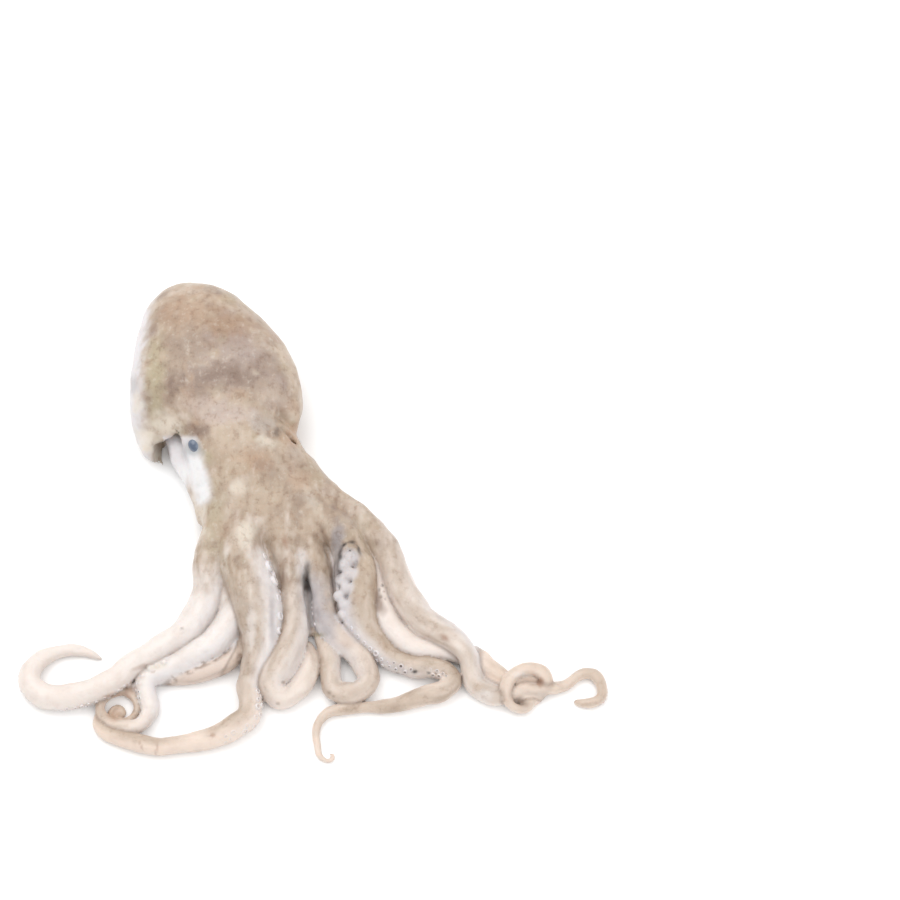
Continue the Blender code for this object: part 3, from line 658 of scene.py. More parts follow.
@dataclass
class FleshBuilder:
    """Puts the animal's forms into one field and reads its skin off.

    Args:
        crown: The arms and webs.
        mantle: The body sac.
        head: Centre and radii of the head.
        shoulder: Centre and radii of the swelling at its right.
        crown_top: Centre and radii of the flesh between the arms' roots.
        neck: Radii of the ball that joins the head to the mantle's hollow.
        brow: Centre and radii of the swelling above the eye.
        bumps: Centres and radii of the two pale swellings on the crown.
        pads: Centres and radii of low flesh inside the knot and the ring; the knot's pad fills holes that
            show only shade and carries painted brown shade.
        knobs: Centres and radii of the swollen suckers in the pocket.
        warts: Centres and radii of the small warts on the ring arm.
        funnel: Stations of the funnel.
        notch: Rows of place and radius of the cut behind the collar's right end.
        pocket: Rows of place and radius of the hollow that the knobs stand in.
        arch: Rows of place and radius of the raised edge above the pocket.
    """

    crown: ArmCrown
    mantle: MantleShape
    head: Ball = ((-27.0, 31.0, 10.0), (22.0, 22.0, 17.0))
    shoulder: Ball = ((-21.5, 26.0, 7.0), (15.5, 17.0, 16.0))
    crown_top: Ball = ((-19.0, 17.0, 6.0), (25.0, 21.0, 14.0))
    neck: Triple = (19.5, 19.0, 15.5)
    brow: Ball = ((-42.5, 33.5, 16.5), (8.0, 6.5, 6.5))
    bumps: tuple[Ball, ...] = (((-26.0, 13.0, 16.5), (4.5, 4.5, 4.5)),
                               ((-25.0, -3.0, 13.5), (4.8, 5.5, 4.6)))
    pads: tuple[Ball, ...] = (
        ((84.0, -65.0, 1.0), (8.0, 7.5, 4.0)), ((-67.6, -65.3, 0.6), (3.8, 3.4, 3.6)),
        ((-72.8, -75.4, 0.0), (2.7, 2.4, 1.7)))
    knobs: Stations = ((16.0, -15.8, 14.6, 3.1), (13.4, -18.8, 14.2, 2.7), (15.4, -22.4, 14.2, 3.0),
                       (12.2, -24.4, 13.4, 2.6), (14.4, -27.8, 13.2, 2.8), (11.6, -30.4, 11.8, 2.4),
                       (13.8, -33.8, 11.4, 2.4), (12.8, -37.8, 9.6, 2.2), (15.2, -41.2, 8.4, 2.0),
                       (16.4, -44.6, 7.2, 1.8), (18.4, -47.4, 6.2, 1.7))
    warts: Stations = ((-61.0, -59.2, 8.4, 1.4), (-58.2, -58.4, 8.8, 1.2), (-55.4, -57.2, 9.2, 1.3),
                       (-63.4, -62.2, 7.8, 1.2), (-64.6, -65.2, 7.0, 1.1))
    funnel: Stations = ((-53.5, 41.0, 3.6, 5.4), (-51.2, 32.0, 3.1, 5.2), (-45.9, 22.0, 2.7, 4.6),
                        (-43.0, 14.0, 2.5, 4.5), (-41.0, 7.0, 2.5, 4.4))
    notch: Stations = ((-14.0, 40.5, 25.0, 0.8), (-8.5, 35.0, 17.0, 1.3), (-7.0, 31.0, 8.0, 1.6))
    pocket: Stations = ((15.6, -15.6, 17.0, 3.9), (13.8, -20.0, 16.0, 4.2),
                        (12.0, -28.0, 14.6, 3.8), (11.6, -36.0, 12.5, 2.4))
    arch: Stations = ((11.4, -20.7, 15.0, 0.8), (12.3, -15.2, 16.6, 1.0), (14.8, -11.6, 17.3, 1.1),
                      (17.6, -12.6, 17.3, 1.1), (19.4, -17.0, 16.6, 1.0), (19.6, -22.0, 15.6, 0.7))

    def sac(self, space: FleshField) -> None:
        """Mantle with its leaning collar and the hollow behind it."""
        window = space.window(np.array([-82.0, 10.0, -3.0]), np.array([6.0, 111.0, 39.0]))
        x, y, z = space.grid(window)
        behind = (y - 107.9) * np.ones_like(x * z)
        outer = self.true_distance(self.mantle.field(x, y, z, 0.0), space.pitch)
        outer = np.maximum(outer, behind)
        inner = self.true_distance(self.mantle.field(x, y, z, self.mantle.lip), space.pitch)
        grown = smooth_interval(-54.0, -44.0, x) * smooth_interval(-13.0, -19.0, x)
        right = smooth_interval(-19.0, -13.0, x)
        rim = self.mantle.collar[0] - 18.0 * grown - 1.0 * right
        rim = rim + (self.mantle.collar[1] + 0.3 * right) * z
        shell = -soft_union(-outer, -(rim - y), 1.0)
        depth = (y - 42.5) * np.ones_like(inner)
        hollow = -soft_union(-inner, -depth, 3.0)
        hollow = np.maximum(hollow, (x + 48.0 - 0.25 * (y - 30.0)) * np.ones_like(hollow))
        hollow = np.maximum(hollow, (0.35 * (y - 30.0) - 65.0 - x) * np.ones_like(hollow))
        shell = -soft_union(-shell, hollow, 0.8)
        space.join(window, shell.astype(np.float32), 0.6 + 6.4 * grown)

    @staticmethod
    def true_distance(value: np.ndarray, pitch: float) -> np.ndarray:
        """Scale an implicit function so that it reads as a distance near its surface."""
        slope = np.gradient(value, pitch)
        steep = np.sqrt(slope[0] ** 2 + slope[1] ** 2 + slope[2] ** 2)
        return np.clip(value / np.maximum(steep, 0.02), -12.0, 12.0)

    def blend_at(self, space: FleshField, window: tuple[slice, ...],
                 near: float, far: float) -> np.ndarray:
        """Fillet size that shrinks away from the head."""
        x, y, _ = space.grid(window)
        gap = np.sqrt((x + 24.0) ** 2 + (y - 22.0) ** 2)
        return near + (far - near) * smooth_interval(22.0, 62.0, gap)

    def fill(self) -> FleshField:
        """Make the whole field.

        Returns:
            The finished field, flat where the animal lies on the floor.
        """
        space = FleshField()
        for index, arm in enumerate(self.crown.arms):
            window, values = space.chain(arm.route.points, arm.lumpy_radii(index + 1), 5.0)
            space.join(window, values, self.blend_at(space, window, 4.5, 0.7))
        for centre, radii in self.pads:
            window, values = space.ball(centre, radii)
            space.join(window, values, 0.8)
        for route in (self.crown.fold, self.crown.lobe):
            window, values = space.chain(route.points, route.radii, 4.0)
            space.join(window, values, 0.8)
        for points, radii in self.crown.web_ribs():
            window, values = space.chain(points, radii, 3.5, columns=True)
            space.join(window, values, self.blend_at(space, window, 2.0, 0.8) * 0.4)
        for form in (self.head, self.shoulder, self.crown_top):
            window, values = space.ball(*form)
            space.join(window, values, 7.0)
        self.sac(space)
        window, values = space.ball(self.head[0], self.neck, 8.0)
        space.join(window, values, 5.0)
        self.face(space)
        space.add_noise(7.0, 0.45, 11)
        space.add_noise(2.6, 0.16, 12)
        self.floor(space)
        return space

    def face(self, space: FleshField) -> None:
        """Funnel, brow, collar notch, pocket with its raised edge and swollen suckers, warts and the
        bumps on the crown.
        """
        route = Route.through(self.funnel)
        window, values = space.chain(route.points, route.radii, 5.0)
        space.join(window, values, 2.0)
        for centre, radii in (self.brow,) + self.bumps:
            window, values = space.ball(centre, radii)
            space.join(window, values, 3.0)
        window, values = self.strand(space, self.notch)
        space.cut(window, values, 1.2)
        window, values = self.strand(space, self.pocket)
        space.cut(window, values, 0.5)
        window, values = self.strand(space, self.arch)
        space.join(window, values, 0.7)
        for x, y, z, size in self.knobs + self.warts:
            window, values = space.ball((x, y, z), (size, size, 0.9 * size))
            space.join(window, values, 0.7)

    @staticmethod
    def strand(space: FleshField, stations: Stations) -> tuple[tuple[slice, ...], np.ndarray]:
        """Field of a short chain given as rows of place and radius."""
        rows = np.array(stations)
        return space.chain(rows[:, :3], rows[:, 3], 4.0)

    @staticmethod
    def floor(space: FleshField) -> None:
        """Flatten everything at the floor with a soft foot edge."""
        level = -space.axes[2][None, None, :] * np.ones_like(space.values)
        space.values = -soft_union(-space.values, -level, 0.9)

    def skin(self) -> tuple[np.ndarray, np.ndarray]:
        """Vertices and quads of the finished skin."""
        return self.fill().surface()


@dataclass(frozen=True)
class Tone:
    """A colour in linear light."""

    red: float
    green: float
    blue: float

    @classmethod
    def seen(cls, red: int, green: int, blue: int) -> "Tone":
        """Colour from 0 to 255 screen values."""
        parts = []
        for part in (red, green, blue):
            c = part / 255.0
            parts.append(c / 12.92 if c <= 0.04045 else ((c + 0.055) / 1.055) ** 2.4)
        return cls(*parts)

    def row(self) -> np.ndarray:
        """The colour as an array of three."""
        return np.array([self.red, self.green, self.blue])

    def rgba(self) -> Rgba:
        """The colour as a socket value."""
        return (self.red, self.green, self.blue, 1.0)


class Hue:
    """Colours of the animal as they look under even white light. The near-black tone, DARK, GREY,
    LAVENDER and BROWN also serve as painted shade in gaps, hollows, slits and creases, and FLESH and
    CREAM as painted light on a few shaded spots.
    """

    FLESH = Tone.seen(244, 237, 233)
    PEACH = Tone.seen(240, 220, 204)
    COLD = Tone.seen(229, 224, 225)
    LIGHT_TAN = Tone.seen(204, 184, 163)
    TAN = Tone.seen(183, 162, 142)
    BROWN = Tone.seen(146, 124, 110)
    WARM = Tone.seen(188, 153, 126)
    DOVE = Tone.seen(190, 178, 168)
    SLATE = Tone.seen(150, 156, 158)
    LAVENDER = Tone.seen(172, 164, 166)
    SIENNA = Tone.seen(168, 136, 110)
    MOSS = Tone.seen(184, 172, 143)
    MAUVE = Tone.seen(181, 164, 157)
    CREAM = Tone.seen(232, 221, 206)
    ROSE = Tone.seen(215, 196, 184)
    GREY = Tone.seen(160, 152, 152)
    RUST = Tone.seen(158, 116, 90)
    # DARK and the near-black tone below mark both the animal's own dark spots and painted shade in its
    # deepest gaps.
    DARK = Tone.seen(84, 72, 66)
    DEEP_SHADE_AND_DOTS = Tone.seen(42, 35, 32)


@dataclass(frozen=True)
class Mark:
    """A soft patch of colour, placed on the plan sheared along the line of sight.

    Args:
        x: Middle, across.
        y: Middle, along, with heights sheared in.
        wide: Half width.
        deep: Half depth.
        tone: Its colour.
        strength: How much of it shows in the middle.
        turn: Degrees anticlockwise.
    """

    x: float
    y: float
    wide: float
    deep: float
    tone: Tone
    strength: float
    turn: float = 0.0

    def share(self, across: np.ndarray, along: np.ndarray, fray: np.ndarray) -> np.ndarray:
        """How much of the patch shows at each place, with frayed edges."""
        angle = math.radians(self.turn)
        u, v = across - self.x, along - self.y
        a = (u * math.cos(angle) + v * math.sin(angle)) / self.wide
        b = (v * math.cos(angle) - u * math.sin(angle)) / self.deep
        return self.strength * smooth_interval(1.25, 0.2, np.sqrt(a * a + b * b) + 0.32 * fray)


BODY_MARKS: tuple[Mark, ...] = (
    Mark(-50, 104, 14, 9, Hue.WARM, 0.35), Mark(-33, 95, 15, 10, Hue.SIENNA, 0.7),
    Mark(-50, 86, 9, 12, Hue.TAN, 0.8), Mark(-50, 87, 8, 10, Hue.BROWN, 0.45),
    Mark(-66, 46, 5, 7, Hue.CREAM, 0.9), Mark(-68, 42, 3, 6, Hue.FLESH, 0.5),
    # Collar hollow: the cream is painted light that lightens its shaded inside, and the dark streak is
    # painted shade in the gap beside the funnel.
    Mark(-62.2, 37.2, 3.6, 5.0, Hue.CREAM, 0.9), Mark(-59.6, 36.5, 1.0, 6.5, Hue.DARK, 0.85, 10),
    Mark(-27, 86, 12, 10, Hue.MAUVE, 0.6), Mark(-33, 74, 17, 10, Hue.MAUVE, 0.6),
    Mark(-34, 74, 14, 7, Hue.BROWN, 0.95, 8), Mark(-44, 69, 5, 9, Hue.BROWN, 0.6),
    Mark(-18, 78, 7, 7, Hue.BROWN, 0.45), Mark(-14, 66, 8, 14, Hue.MAUVE, 0.4),
    Mark(-62, 70, 4.5, 25, Hue.MOSS, 0.7), Mark(-40, 60, 16, 5, Hue.ROSE, 0.5),
    Mark(-34, 55, 15, 5.5, Hue.ROSE, 0.75), Mark(-34, 56, 15, 6, Hue.MAUVE, 0.35),
    Mark(-58, 51, 8, 7, Hue.CREAM, 0.7),
    Mark(-71, 69, 2.4, 6, Hue.GREY, 0.5), Mark(-9.5, 82, 4, 14, Hue.LIGHT_TAN, 0.6, 12),
    Mark(-19, 52, 6.5, 5.5, Hue.DOVE, 0.7), Mark(-44.5, 48, 6.5, 4.4, Hue.BROWN, 0.95, -8),
    Mark(-13.8, 48, 2.0, 3.2, Hue.DARK, 0.6, -30), Mark(-8, 46, 3.2, 6.5, Hue.WARM, 0.7),
    Mark(-42, 35.5, 6, 5, Hue.MOSS, 0.7), Mark(-46.5, 40, 4.2, 4, Hue.SLATE, 0.6),
    Mark(-30, 43, 9, 6, Hue.LIGHT_TAN, 0.5), Mark(-22, 35, 11, 5.5, Hue.WARM, 0.5, -10),
    Mark(-18, 33, 6, 3, Hue.BROWN, 0.4, -25), Mark(-30, 33, 7, 4, Hue.LIGHT_TAN, 0.6),
    Mark(-28.2, 23, 4, 4, Hue.CREAM, 0.85), Mark(-24.4, 3.4, 4.6, 6, Hue.CREAM, 0.85, -12),
    Mark(-32.5, 5, 1.4, 3.4, Hue.RUST, 0.45), Mark(-10, 0, 1.8, 4.5, Hue.RUST, 0.55, 15),
    Mark(-38, 9, 5, 17, Hue.MOSS, 0.45), Mark(-20, 17, 12, 9, Hue.LIGHT_TAN, 0.6),
    Mark(-5, 26, 6, 5, Hue.WARM, 0.45, -30), Mark(2, 14, 3, 14, Hue.CREAM, 0.4, 28),
    Mark(-6, 12, 2.2, 12, Hue.BROWN, 0.12, 24), Mark(-21, -1, 2, 9, Hue.BROWN, 0.25, 4),
    # Grey patches beside the pocket: painted shade on the web sunk between two arms.
    Mark(10.5, -2, 3.4, 11, Hue.GREY, 0.85), Mark(14.5, -8, 4, 7, Hue.GREY, 0.6),
    Mark(-3, -9, 3, 8, Hue.COLD, 0.45), Mark(-44, 14, 3.4, 13, Hue.CREAM, 0.7, 8),
    Mark(-13, 5, 6, 7, Hue.LIGHT_TAN, 0.5), Mark(-25, 70, 7.5, 5, Hue.BROWN, 0.6, 6),
    Mark(-56, 98, 7, 6, Hue.SIENNA, 0.4), Mark(-69.5, 61, 2.6, 6, Hue.CREAM, 0.6),
    # The first cream mark on the next line is painted light over the shaded inside of the collar.
    Mark(-65.6, 41.4, 2.2, 2.6, Hue.CREAM, 0.85), Mark(-16.8, 43.6, 5, 2.8, Hue.CREAM, 0.65, -20),
    Mark(-31.8, 5.5, 2, 5, Hue.TAN, 0.6), Mark(-11.4, 8.6, 3, 4, Hue.TAN, 0.4),
    Mark(0, 9, 7, 7.5, Hue.LIGHT_TAN, 0.55), Mark(22.6, -7, 3, 9, Hue.LIGHT_TAN, 0.7),
)
ARM_MARKS: tuple[Mark, ...] = (
    Mark(28.2, -19.8, 0.6, 0.8, Hue.DARK, 0.7), Mark(30, -20.8, 0.5, 0.6, Hue.DARK, 0.6),
    Mark(27, -21.6, 0.5, 0.7, Hue.DARK, 0.6), Mark(28.8, -22.4, 0.6, 0.5, Hue.BROWN, 0.6),
    Mark(27.6, -24.6, 0.7, 0.6, Hue.DARK, 0.7), Mark(29.2, -25.6, 0.5, 0.5, Hue.DARK, 0.5),
    # The lavender mark at the end of the next line is painted shade on the flank inside the slit between
    # two hooked arms.
    Mark(26.4, -26.4, 0.6, 0.6, Hue.BROWN, 0.6), Mark(3.6, -24, 4.2, 12, Hue.LAVENDER, 0.6, 4),
    # Next line: lavender painted shade in the hollow at the pocket's left side.
    Mark(9.6, -16, 1.8, 7, Hue.LAVENDER, 0.7, -8),
    # Painted shade: the near-black streak at the top of the slit between the hooked arms.
    Mark(-1.3, -16.5, 1.7, 8, Hue.DEEP_SHADE_AND_DOTS, 0.9),
    # The grey mark on the next line is painted shade lower in that slit.
    Mark(0.4, -27, 2.0, 7, Hue.GREY, 0.6, 6), Mark(3.7, -41, 3.4, 1.5, Hue.MOSS, 0.75),
    # The near-black marks on this line and the next, and the dark mark that starts the line after, are
    # painted shadow under the raised edge round the pocket and down its left side.
    Mark(13.2, -1.8, 1.9, 0.9, Hue.DEEP_SHADE_AND_DOTS, 0.95, 40), Mark(16.2, -0.7, 2.0, 0.9, Hue.DEEP_SHADE_AND_DOTS, 0.95, -8),
    Mark(18.9, -3.8, 0.8, 2.8, Hue.DEEP_SHADE_AND_DOTS, 0.8, 22), Mark(11.8, -6.8, 1.3, 4.4, Hue.DEEP_SHADE_AND_DOTS, 0.85, -6),
    Mark(11.0, -12, 1.4, 5.5, Hue.DARK, 0.6, 4), Mark(-67.6, -64, 3, 2, Hue.RUST, 0.6),
    Mark(-58, -54.4, 4.4, 1.4, Hue.CREAM, 0.7, 8), Mark(-59.5, -56.6, 0.9, 0.6, Hue.RUST, 0.6, 12),
    Mark(-63.2, -87.3, 0.5, 3.2, Hue.RUST, 0.4, 20), Mark(-57.1, -89, 0.45, 3.4, Hue.RUST, 0.35, -10),
    Mark(-64.5, -54.5, 4, 1.2, Hue.RUST, 0.4, 20), Mark(-68.8, -70, 1.7, 5.5, Hue.RUST, 0.45, 16),
    Mark(-75, -67, 5, 1.3, Hue.RUST, 0.45, 8), Mark(-74, -75, 3.4, 3, Hue.WARM, 0.6),
    Mark(-9.5, -61, 0.8, 0.8, Hue.BROWN, 0.6), Mark(-11.5, -70, 0.8, 0.8, Hue.BROWN, 0.5),
    Mark(8, -65.5, 1.1, 1.1, Hue.BROWN, 0.6), Mark(9.7, -67, 0.8, 0.8, Hue.BROWN, 0.5),
    Mark(12, -50, 0.8, 0.8, Hue.BROWN, 0.5), Mark(15, -53, 0.8, 0.7, Hue.BROWN, 0.5),
    # Both marks on the next line are painted shade in the small holes of the knot.
    Mark(89, -61.2, 1.8, 2.0, Hue.RUST, 0.85, -20), Mark(81, -69, 2.4, 2.2, Hue.BROWN, 0.7),
    Mark(82, -61.5, 3.6, 1.8, Hue.PEACH, 0.6), Mark(88, -66, 5, 2, Hue.DOVE, 0.5, -8),
    Mark(52.5, -41.8, 2.8, 1.4, Hue.RUST, 0.55, -35), Mark(-36, -83, 1.2, 1.0, Hue.RUST, 0.45),
    # The grey mark at the end of the next line is painted shade in the slit between the hooked arms.
    Mark(-49, -38, 0.7, 0.6, Hue.DARK, 0.45), Mark(4, -31, 3.2, 2.2, Hue.GREY, 0.5),
    # The near-black mark that starts the next line is painted shade in the gap between the collar's
    # hollow and the funnel.
    Mark(-58.4, 38.4, 2.3, 5.4, Hue.DEEP_SHADE_AND_DOTS, 0.8, 8), Mark(-47.2, 40.5, 4.6, 5.2, Hue.SLATE, 0.5),
    # The lavender mark that starts the next line is painted shade on the sucker flank of the long bent
    # arm.
    Mark(-14.2, -33, 1.6, 13, Hue.LAVENDER, 0.6, 2), Mark(-21.8, -36, 2.2, 12, Hue.FLESH, 0.55),
    # The lavender mark that starts the next line is partly the hooked arm's own lavender tone and partly
    # painted shade.
    Mark(6.2, -36.5, 4.6, 8.5, Hue.LAVENDER, 0.7, 22), Mark(13.6, -43.5, 4, 4, Hue.ROSE, 0.7),
    # Next line: the brown mark is partly freckles and partly painted shade between two arms; the flesh
    # mark is a painted highlight on the knot's rim.
    Mark(27.3, -27.6, 2.4, 5.2, Hue.BROWN, 0.8, 14), Mark(82.4, -58, 4, 1.8, Hue.FLESH, 0.6),
    # Next line: the brown mark is painted shade in a hole of the knot, and the flesh mark is painted
    # light that lightens the shaded stretch of an arm before the knot.
    Mark(82.6, -70.4, 4, 1.8, Hue.BROWN, 0.45), Mark(68.5, -66.5, 4.5, 3, Hue.FLESH, 0.6),
    Mark(34, -57.8, 0.7, 0.7, Hue.DEEP_SHADE_AND_DOTS, 0.7), Mark(37.4, -57.4, 0.8, 0.7, Hue.DEEP_SHADE_AND_DOTS, 0.8),
    Mark(40.8, -56.6, 1.3, 0.9, Hue.DEEP_SHADE_AND_DOTS, 0.9, 20), Mark(46.2, -57.2, 0.8, 0.7, Hue.DEEP_SHADE_AND_DOTS, 0.7),
    Mark(48.8, -57.4, 0.7, 0.6, Hue.BROWN, 0.8), Mark(51.6, -56.6, 0.8, 0.8, Hue.BROWN, 0.8),
)


def cover(color: np.ndarray, tone: np.ndarray | Triple, amount: np.ndarray) -> np.ndarray:
    """Lay a tone over a colour.

    Args:
        color: Colours, one row for each point, or one row for all.
        tone: What is laid over them, likewise.
        amount: How much of it shows at each point.

    Returns:
        The mixed colours.
    """
    share = amount[:, None]
    return color * (1 - share) + np.asarray(tone) * share


@dataclass(frozen=True)
class Unevenness:
    """Smooth noise between -1 and 1 that breaks up the paint.

    Args:
        broad: Large clouds.
        patchy: Patches a few millimetres wide.
        streaks: Streaks that run from mantle to arms.
        fray: Small noise that frays the edges of marks.
        drawn: Streaks that follow each arm.
    """

    broad: np.ndarray
    patchy: np.ndarray
    streaks: np.ndarray
    fray: np.ndarray
    drawn: np.ndarray

    @classmethod
    def over(cls, points: np.ndarray, flow: np.ndarray) -> "Unevenness":
        """The noises at skin points, given their places and their places along the arms."""
        long = points * np.array([1.0, 0.34, 1.0])
        return cls(lattice_noise(points, 9.0, 41, 3), lattice_noise(points, 4.6, 42, 3),
                   lattice_noise(long, 2.2, 43, 3), lattice_noise(points, 3.2, 44, 2),
                   lattice_noise(flow, 2.6, 45, 3))


@dataclass
class SkinMap:
    """Paints colour, pigment share and the direction of growth on skin points.

    Args:
        crown: The arms that the points belong to.
        mantle: The body sac.
        funnel: Route of the bluish white funnel.
        depth: Factor from seen colour to paint, as the light is brighter than white.
        milk: Linear colour of the low end of the funnel.
    """

    crown: ArmCrown
    mantle: MantleShape
    funnel: Route
    depth: float = 0.80
    milk: Triple = (0.90, 0.885, 0.885)

    def nearest(self, points: np.ndarray) -> tuple[np.ndarray, np.ndarray, np.ndarray, np.ndarray]:
        """Nearest arm, distance along it, gap to it and gap to the next nearest arm."""
        best = np.full(len(points), 1e9)
        second = np.full(len(points), 1e9)
        owner = np.zeros(len(points), dtype=int)
        along = np.zeros(len(points))
        for index, arm in enumerate(self.crown.arms):
            mine = np.full(len(points), 1e9)
            where = np.zeros(len(points))
            for start in range(0, len(points), 20000):
                part = points[start:start + 20000].astype(np.float32)
                centre = arm.route.points.astype(np.float32)
                square = ((part ** 2).sum(1)[:, None] + (centre ** 2).sum(1)[None]
                          - 2 * part @ centre.T)
                gap = np.sqrt(np.maximum(square, 0.0)) - arm.route.radii.astype(np.float32)
                pick = gap.argmin(1)
                mine[start:start + 20000] = gap[np.arange(len(part)), pick]
                where[start:start + 20000] = arm.route.arc[pick]
            closer = mine < best
            second = np.where(closer, best, np.minimum(second, mine))
            owner = np.where(closer, index, owner)
            along = np.where(closer, where, along)
            best = np.where(closer, mine, best)
        return owner, along, best, second

    def arm_tones(self, points: np.ndarray, owner: np.ndarray, along: np.ndarray
                  ) -> tuple[np.ndarray, np.ndarray, np.ndarray, np.ndarray]:
        """What the nearest arm gives to each point.

        Args:
            points: Skin points in millimetres.
            owner: Index of each point's arm.
            along: Distance of each point along its arm.

        Returns:
            Shares of tan, blush and cold, and three columns of flow.
        """
        count = len(points)
        tan, blush, cold = np.zeros(count), np.zeros(count), np.zeros(count)
        flow = np.zeros((count, 3))
        for index, arm in enumerate(self.crown.arms):
            mine = owner == index
            if not mine.any():
                continue
            s = along[mine]
            ahead = arm.route.at(s + 1.0) - arm.route.at(s - 1.0)
            left = np.stack([-ahead[:, 1], ahead[:, 0], np.zeros(len(s))], 1)
            left /= np.maximum(np.linalg.norm(left, axis=1), 1e-6)[:, None]
            offset = points[mine] - arm.route.at(s)
            out = -(offset * left).sum(1) * arm.side.value
            radius = np.maximum(np.linalg.norm(offset, axis=1), 0.2)
            turn = math.radians(arm.back)
            facing = (out * math.cos(turn) + offset[:, 2] * math.sin(turn)) / radius
            strength = np.interp(s, *np.array(arm.tan).T)
            tan[mine] = strength * smooth_interval(-0.6 + 0.5 * (1 - strength), 0.8, facing)
            tan[mine] = np.maximum(tan[mine], smooth_interval(46.0, 24.0, s) * strength)
            blush[mine] = np.interp(s, *np.array(arm.blush).T)
            cold[mine] = np.interp(s, *np.array(arm.cold).T) * smooth_interval(
                0.1, -0.85, out / radius)
            angle = np.arctan2(offset[:, 2], out)
            flow[mine] = np.stack([s * 0.3, angle * radius, np.full(len(s), 40.0 * index)], 1)
        return tan, blush, cold, flow

    @staticmethod
    def pigment_tone(points: np.ndarray, noise: Unevenness, grip: np.ndarray,
                     body: np.ndarray) -> np.ndarray:
        """Colour of fully pigmented skin.

        Args:
            points: Skin points in millimetres.
            noise: Their noise.
            grip: Share of each point that belongs to a free arm.
            body: Share that belongs to mantle and head.

        Returns:
            Colours, one row each.
        """
        calm = 1.0 - 0.45 * smooth_interval(40.0, 20.0, points[:, 1])
        level = 0.46 + (0.26 * noise.broad + 0.26 * noise.patchy) * (1 - 0.7 * grip) * calm
        level = np.clip(level + 0.22 * noise.streaks * (1 - 0.6 * body) * (1 - grip)
                        + 0.15 * noise.drawn * grip, 0, 1)[:, None]
        pigment = np.where(
            level < 0.5, Hue.LIGHT_TAN.row() * (1 - 2 * level) + Hue.TAN.row() * 2 * level,
            Hue.TAN.row() * (2 - 2 * level) + Hue.BROWN.row() * (2 * level - 1))
        for tone, seed, amount in ((Hue.WARM, 51, 0.4), (Hue.MOSS, 52, 0.35), (Hue.MAUVE, 53, 0.4),
                                   (Hue.CREAM, 54, 0.3)):
            tint = smooth_interval(0.15, 0.9, lattice_noise(points, 7.0, seed, 3)) * amount
            pigment = cover(pigment, tone.row(), tint * (1 - 0.6 * grip) * calm)
        return pigment

    def throat_share(self, points: np.ndarray, fray: np.ndarray) -> np.ndarray:
        """Share of the bluish white skin on and beside the funnel."""
        x, y, z = points.T
        strip = self.near_funnel(points)
        narrow = 0.1 * np.maximum(24.0 - y, 0.0) + 0.6 * fray
        throat = smooth_interval(6.6, 2.2, strip + narrow) * smooth_interval(43.0, 38.0, y)
        outside = smooth_interval(-40.0, -46.0, x - 0.42 * (y - 34.0)) * (strip < 6.4)
        throat = np.maximum(throat, outside * (y < 42.0))
        sheared = y + SIGHT_SHEAR * z
        return throat * smooth_interval(6.0, 11.0, y) * smooth_interval(47.5, 44.5, sheared)

    def flank_share(self, points: np.ndarray, fray: np.ndarray) -> np.ndarray:
        """Share of the pale strip low on the mantle's left side."""
        x, y, z = points.T
        middle, half, _ = self.mantle.profile(y)
        across = (x - middle) / half + 0.05 * fray
        on_sac = smooth_interval(24.0, 36.0, y + 0.3 * z)
        return smooth_interval(-0.74, -0.95, across) * on_sac * smooth_interval(106.0, 92.0, y)

    def fold_tones(self, points: np.ndarray, gap: np.ndarray, fray: np.ndarray
                   ) -> tuple[np.ndarray, np.ndarray]:
        """Shares of the loose fold's own colour and of the brown crumbs along its seam."""
        loose = self.near_route(self.crown.fold, points) - gap
        low = smooth_interval(-48.0, -53.0, points[:, 1])
        seam = np.abs(loose + 0.3) + 0.45 * fray
        crumbs = smooth_interval(-0.35, 0.3, lattice_noise(points, 1.5, 46, 2))
        own = 0.85 * low * smooth_interval(0.6, -0.9, loose)
        line = 0.75 * crumbs * smooth_interval(1.9, 0.5, seam) * smooth_interval(6.5, 3.0, gap) * low
        return own, line

    def paint(self, points: np.ndarray) -> dict[str, np.ndarray]:
        """Colour and other painted values.

        Args:
            points: Skin points in millimetres.

        Returns:
            Arrays by name: paint (three columns), pigment, grip and flow (three columns).
        """
        owner, along, gap, second = self.nearest(points)
        tan, blush, cold, flow = self.arm_tones(points, owner, along)
        x, y, z = points.T
        sheared = y + SIGHT_SHEAR * z
        noise = Unevenness.over(points, flow)
        body = smooth_interval(10.0, 24.0, y)
        tan = np.maximum(tan, body)
        grip = smooth_interval(40.0, 64.0, along) * (1 - body)
        uneven = (0.12 * noise.patchy + 0.2 * noise.streaks) * (1 - grip) + 0.18 * noise.drawn * grip
        share = smooth_interval(0.05, 0.95, tan + uneven * smooth_interval(0.0, 0.3, tan))
        color = cover(Hue.FLESH.row(), Hue.PEACH.row(), blush)
        color = cover(color, Hue.ROSE.row(),
                      0.22 * smooth_interval(0.0, 0.9, noise.patchy) * (1 - body))
        color = cover(color, self.pigment_tone(points, noise, grip, body), share)
        throat = self.throat_share(points, noise.fray)
        white = np.maximum(self.flank_share(points, noise.fray), throat)
        white = np.maximum(white, cold * (1 - body) * 0.85 * smooth_interval(30.0, 52.0, along))
        wash = cover(Hue.COLD.row(), self.milk, smooth_interval(31.0, 24.0, y) * throat)
        color = cover(color, wash, white)
        for mark in BODY_MARKS:
            color = cover(color, mark.tone.row(), mark.share(x, sheared, noise.fray) * (1 - throat))
        bulb = np.full(len(points), FAR_AWAY)
        for place in FleshBuilder.knobs:
            bulb = np.minimum(bulb, np.linalg.norm(points - place[:3], axis=1) - place[3])
        color = cover(color, 0.7 * Hue.COLD.row() + 0.3 * Hue.LAVENDER.row(),
                      0.8 * smooth_interval(2.2, 0.4, bulb))
        for mark in ARM_MARKS:
            color = cover(color, mark.tone.row(), mark.share(x, sheared, noise.fray))
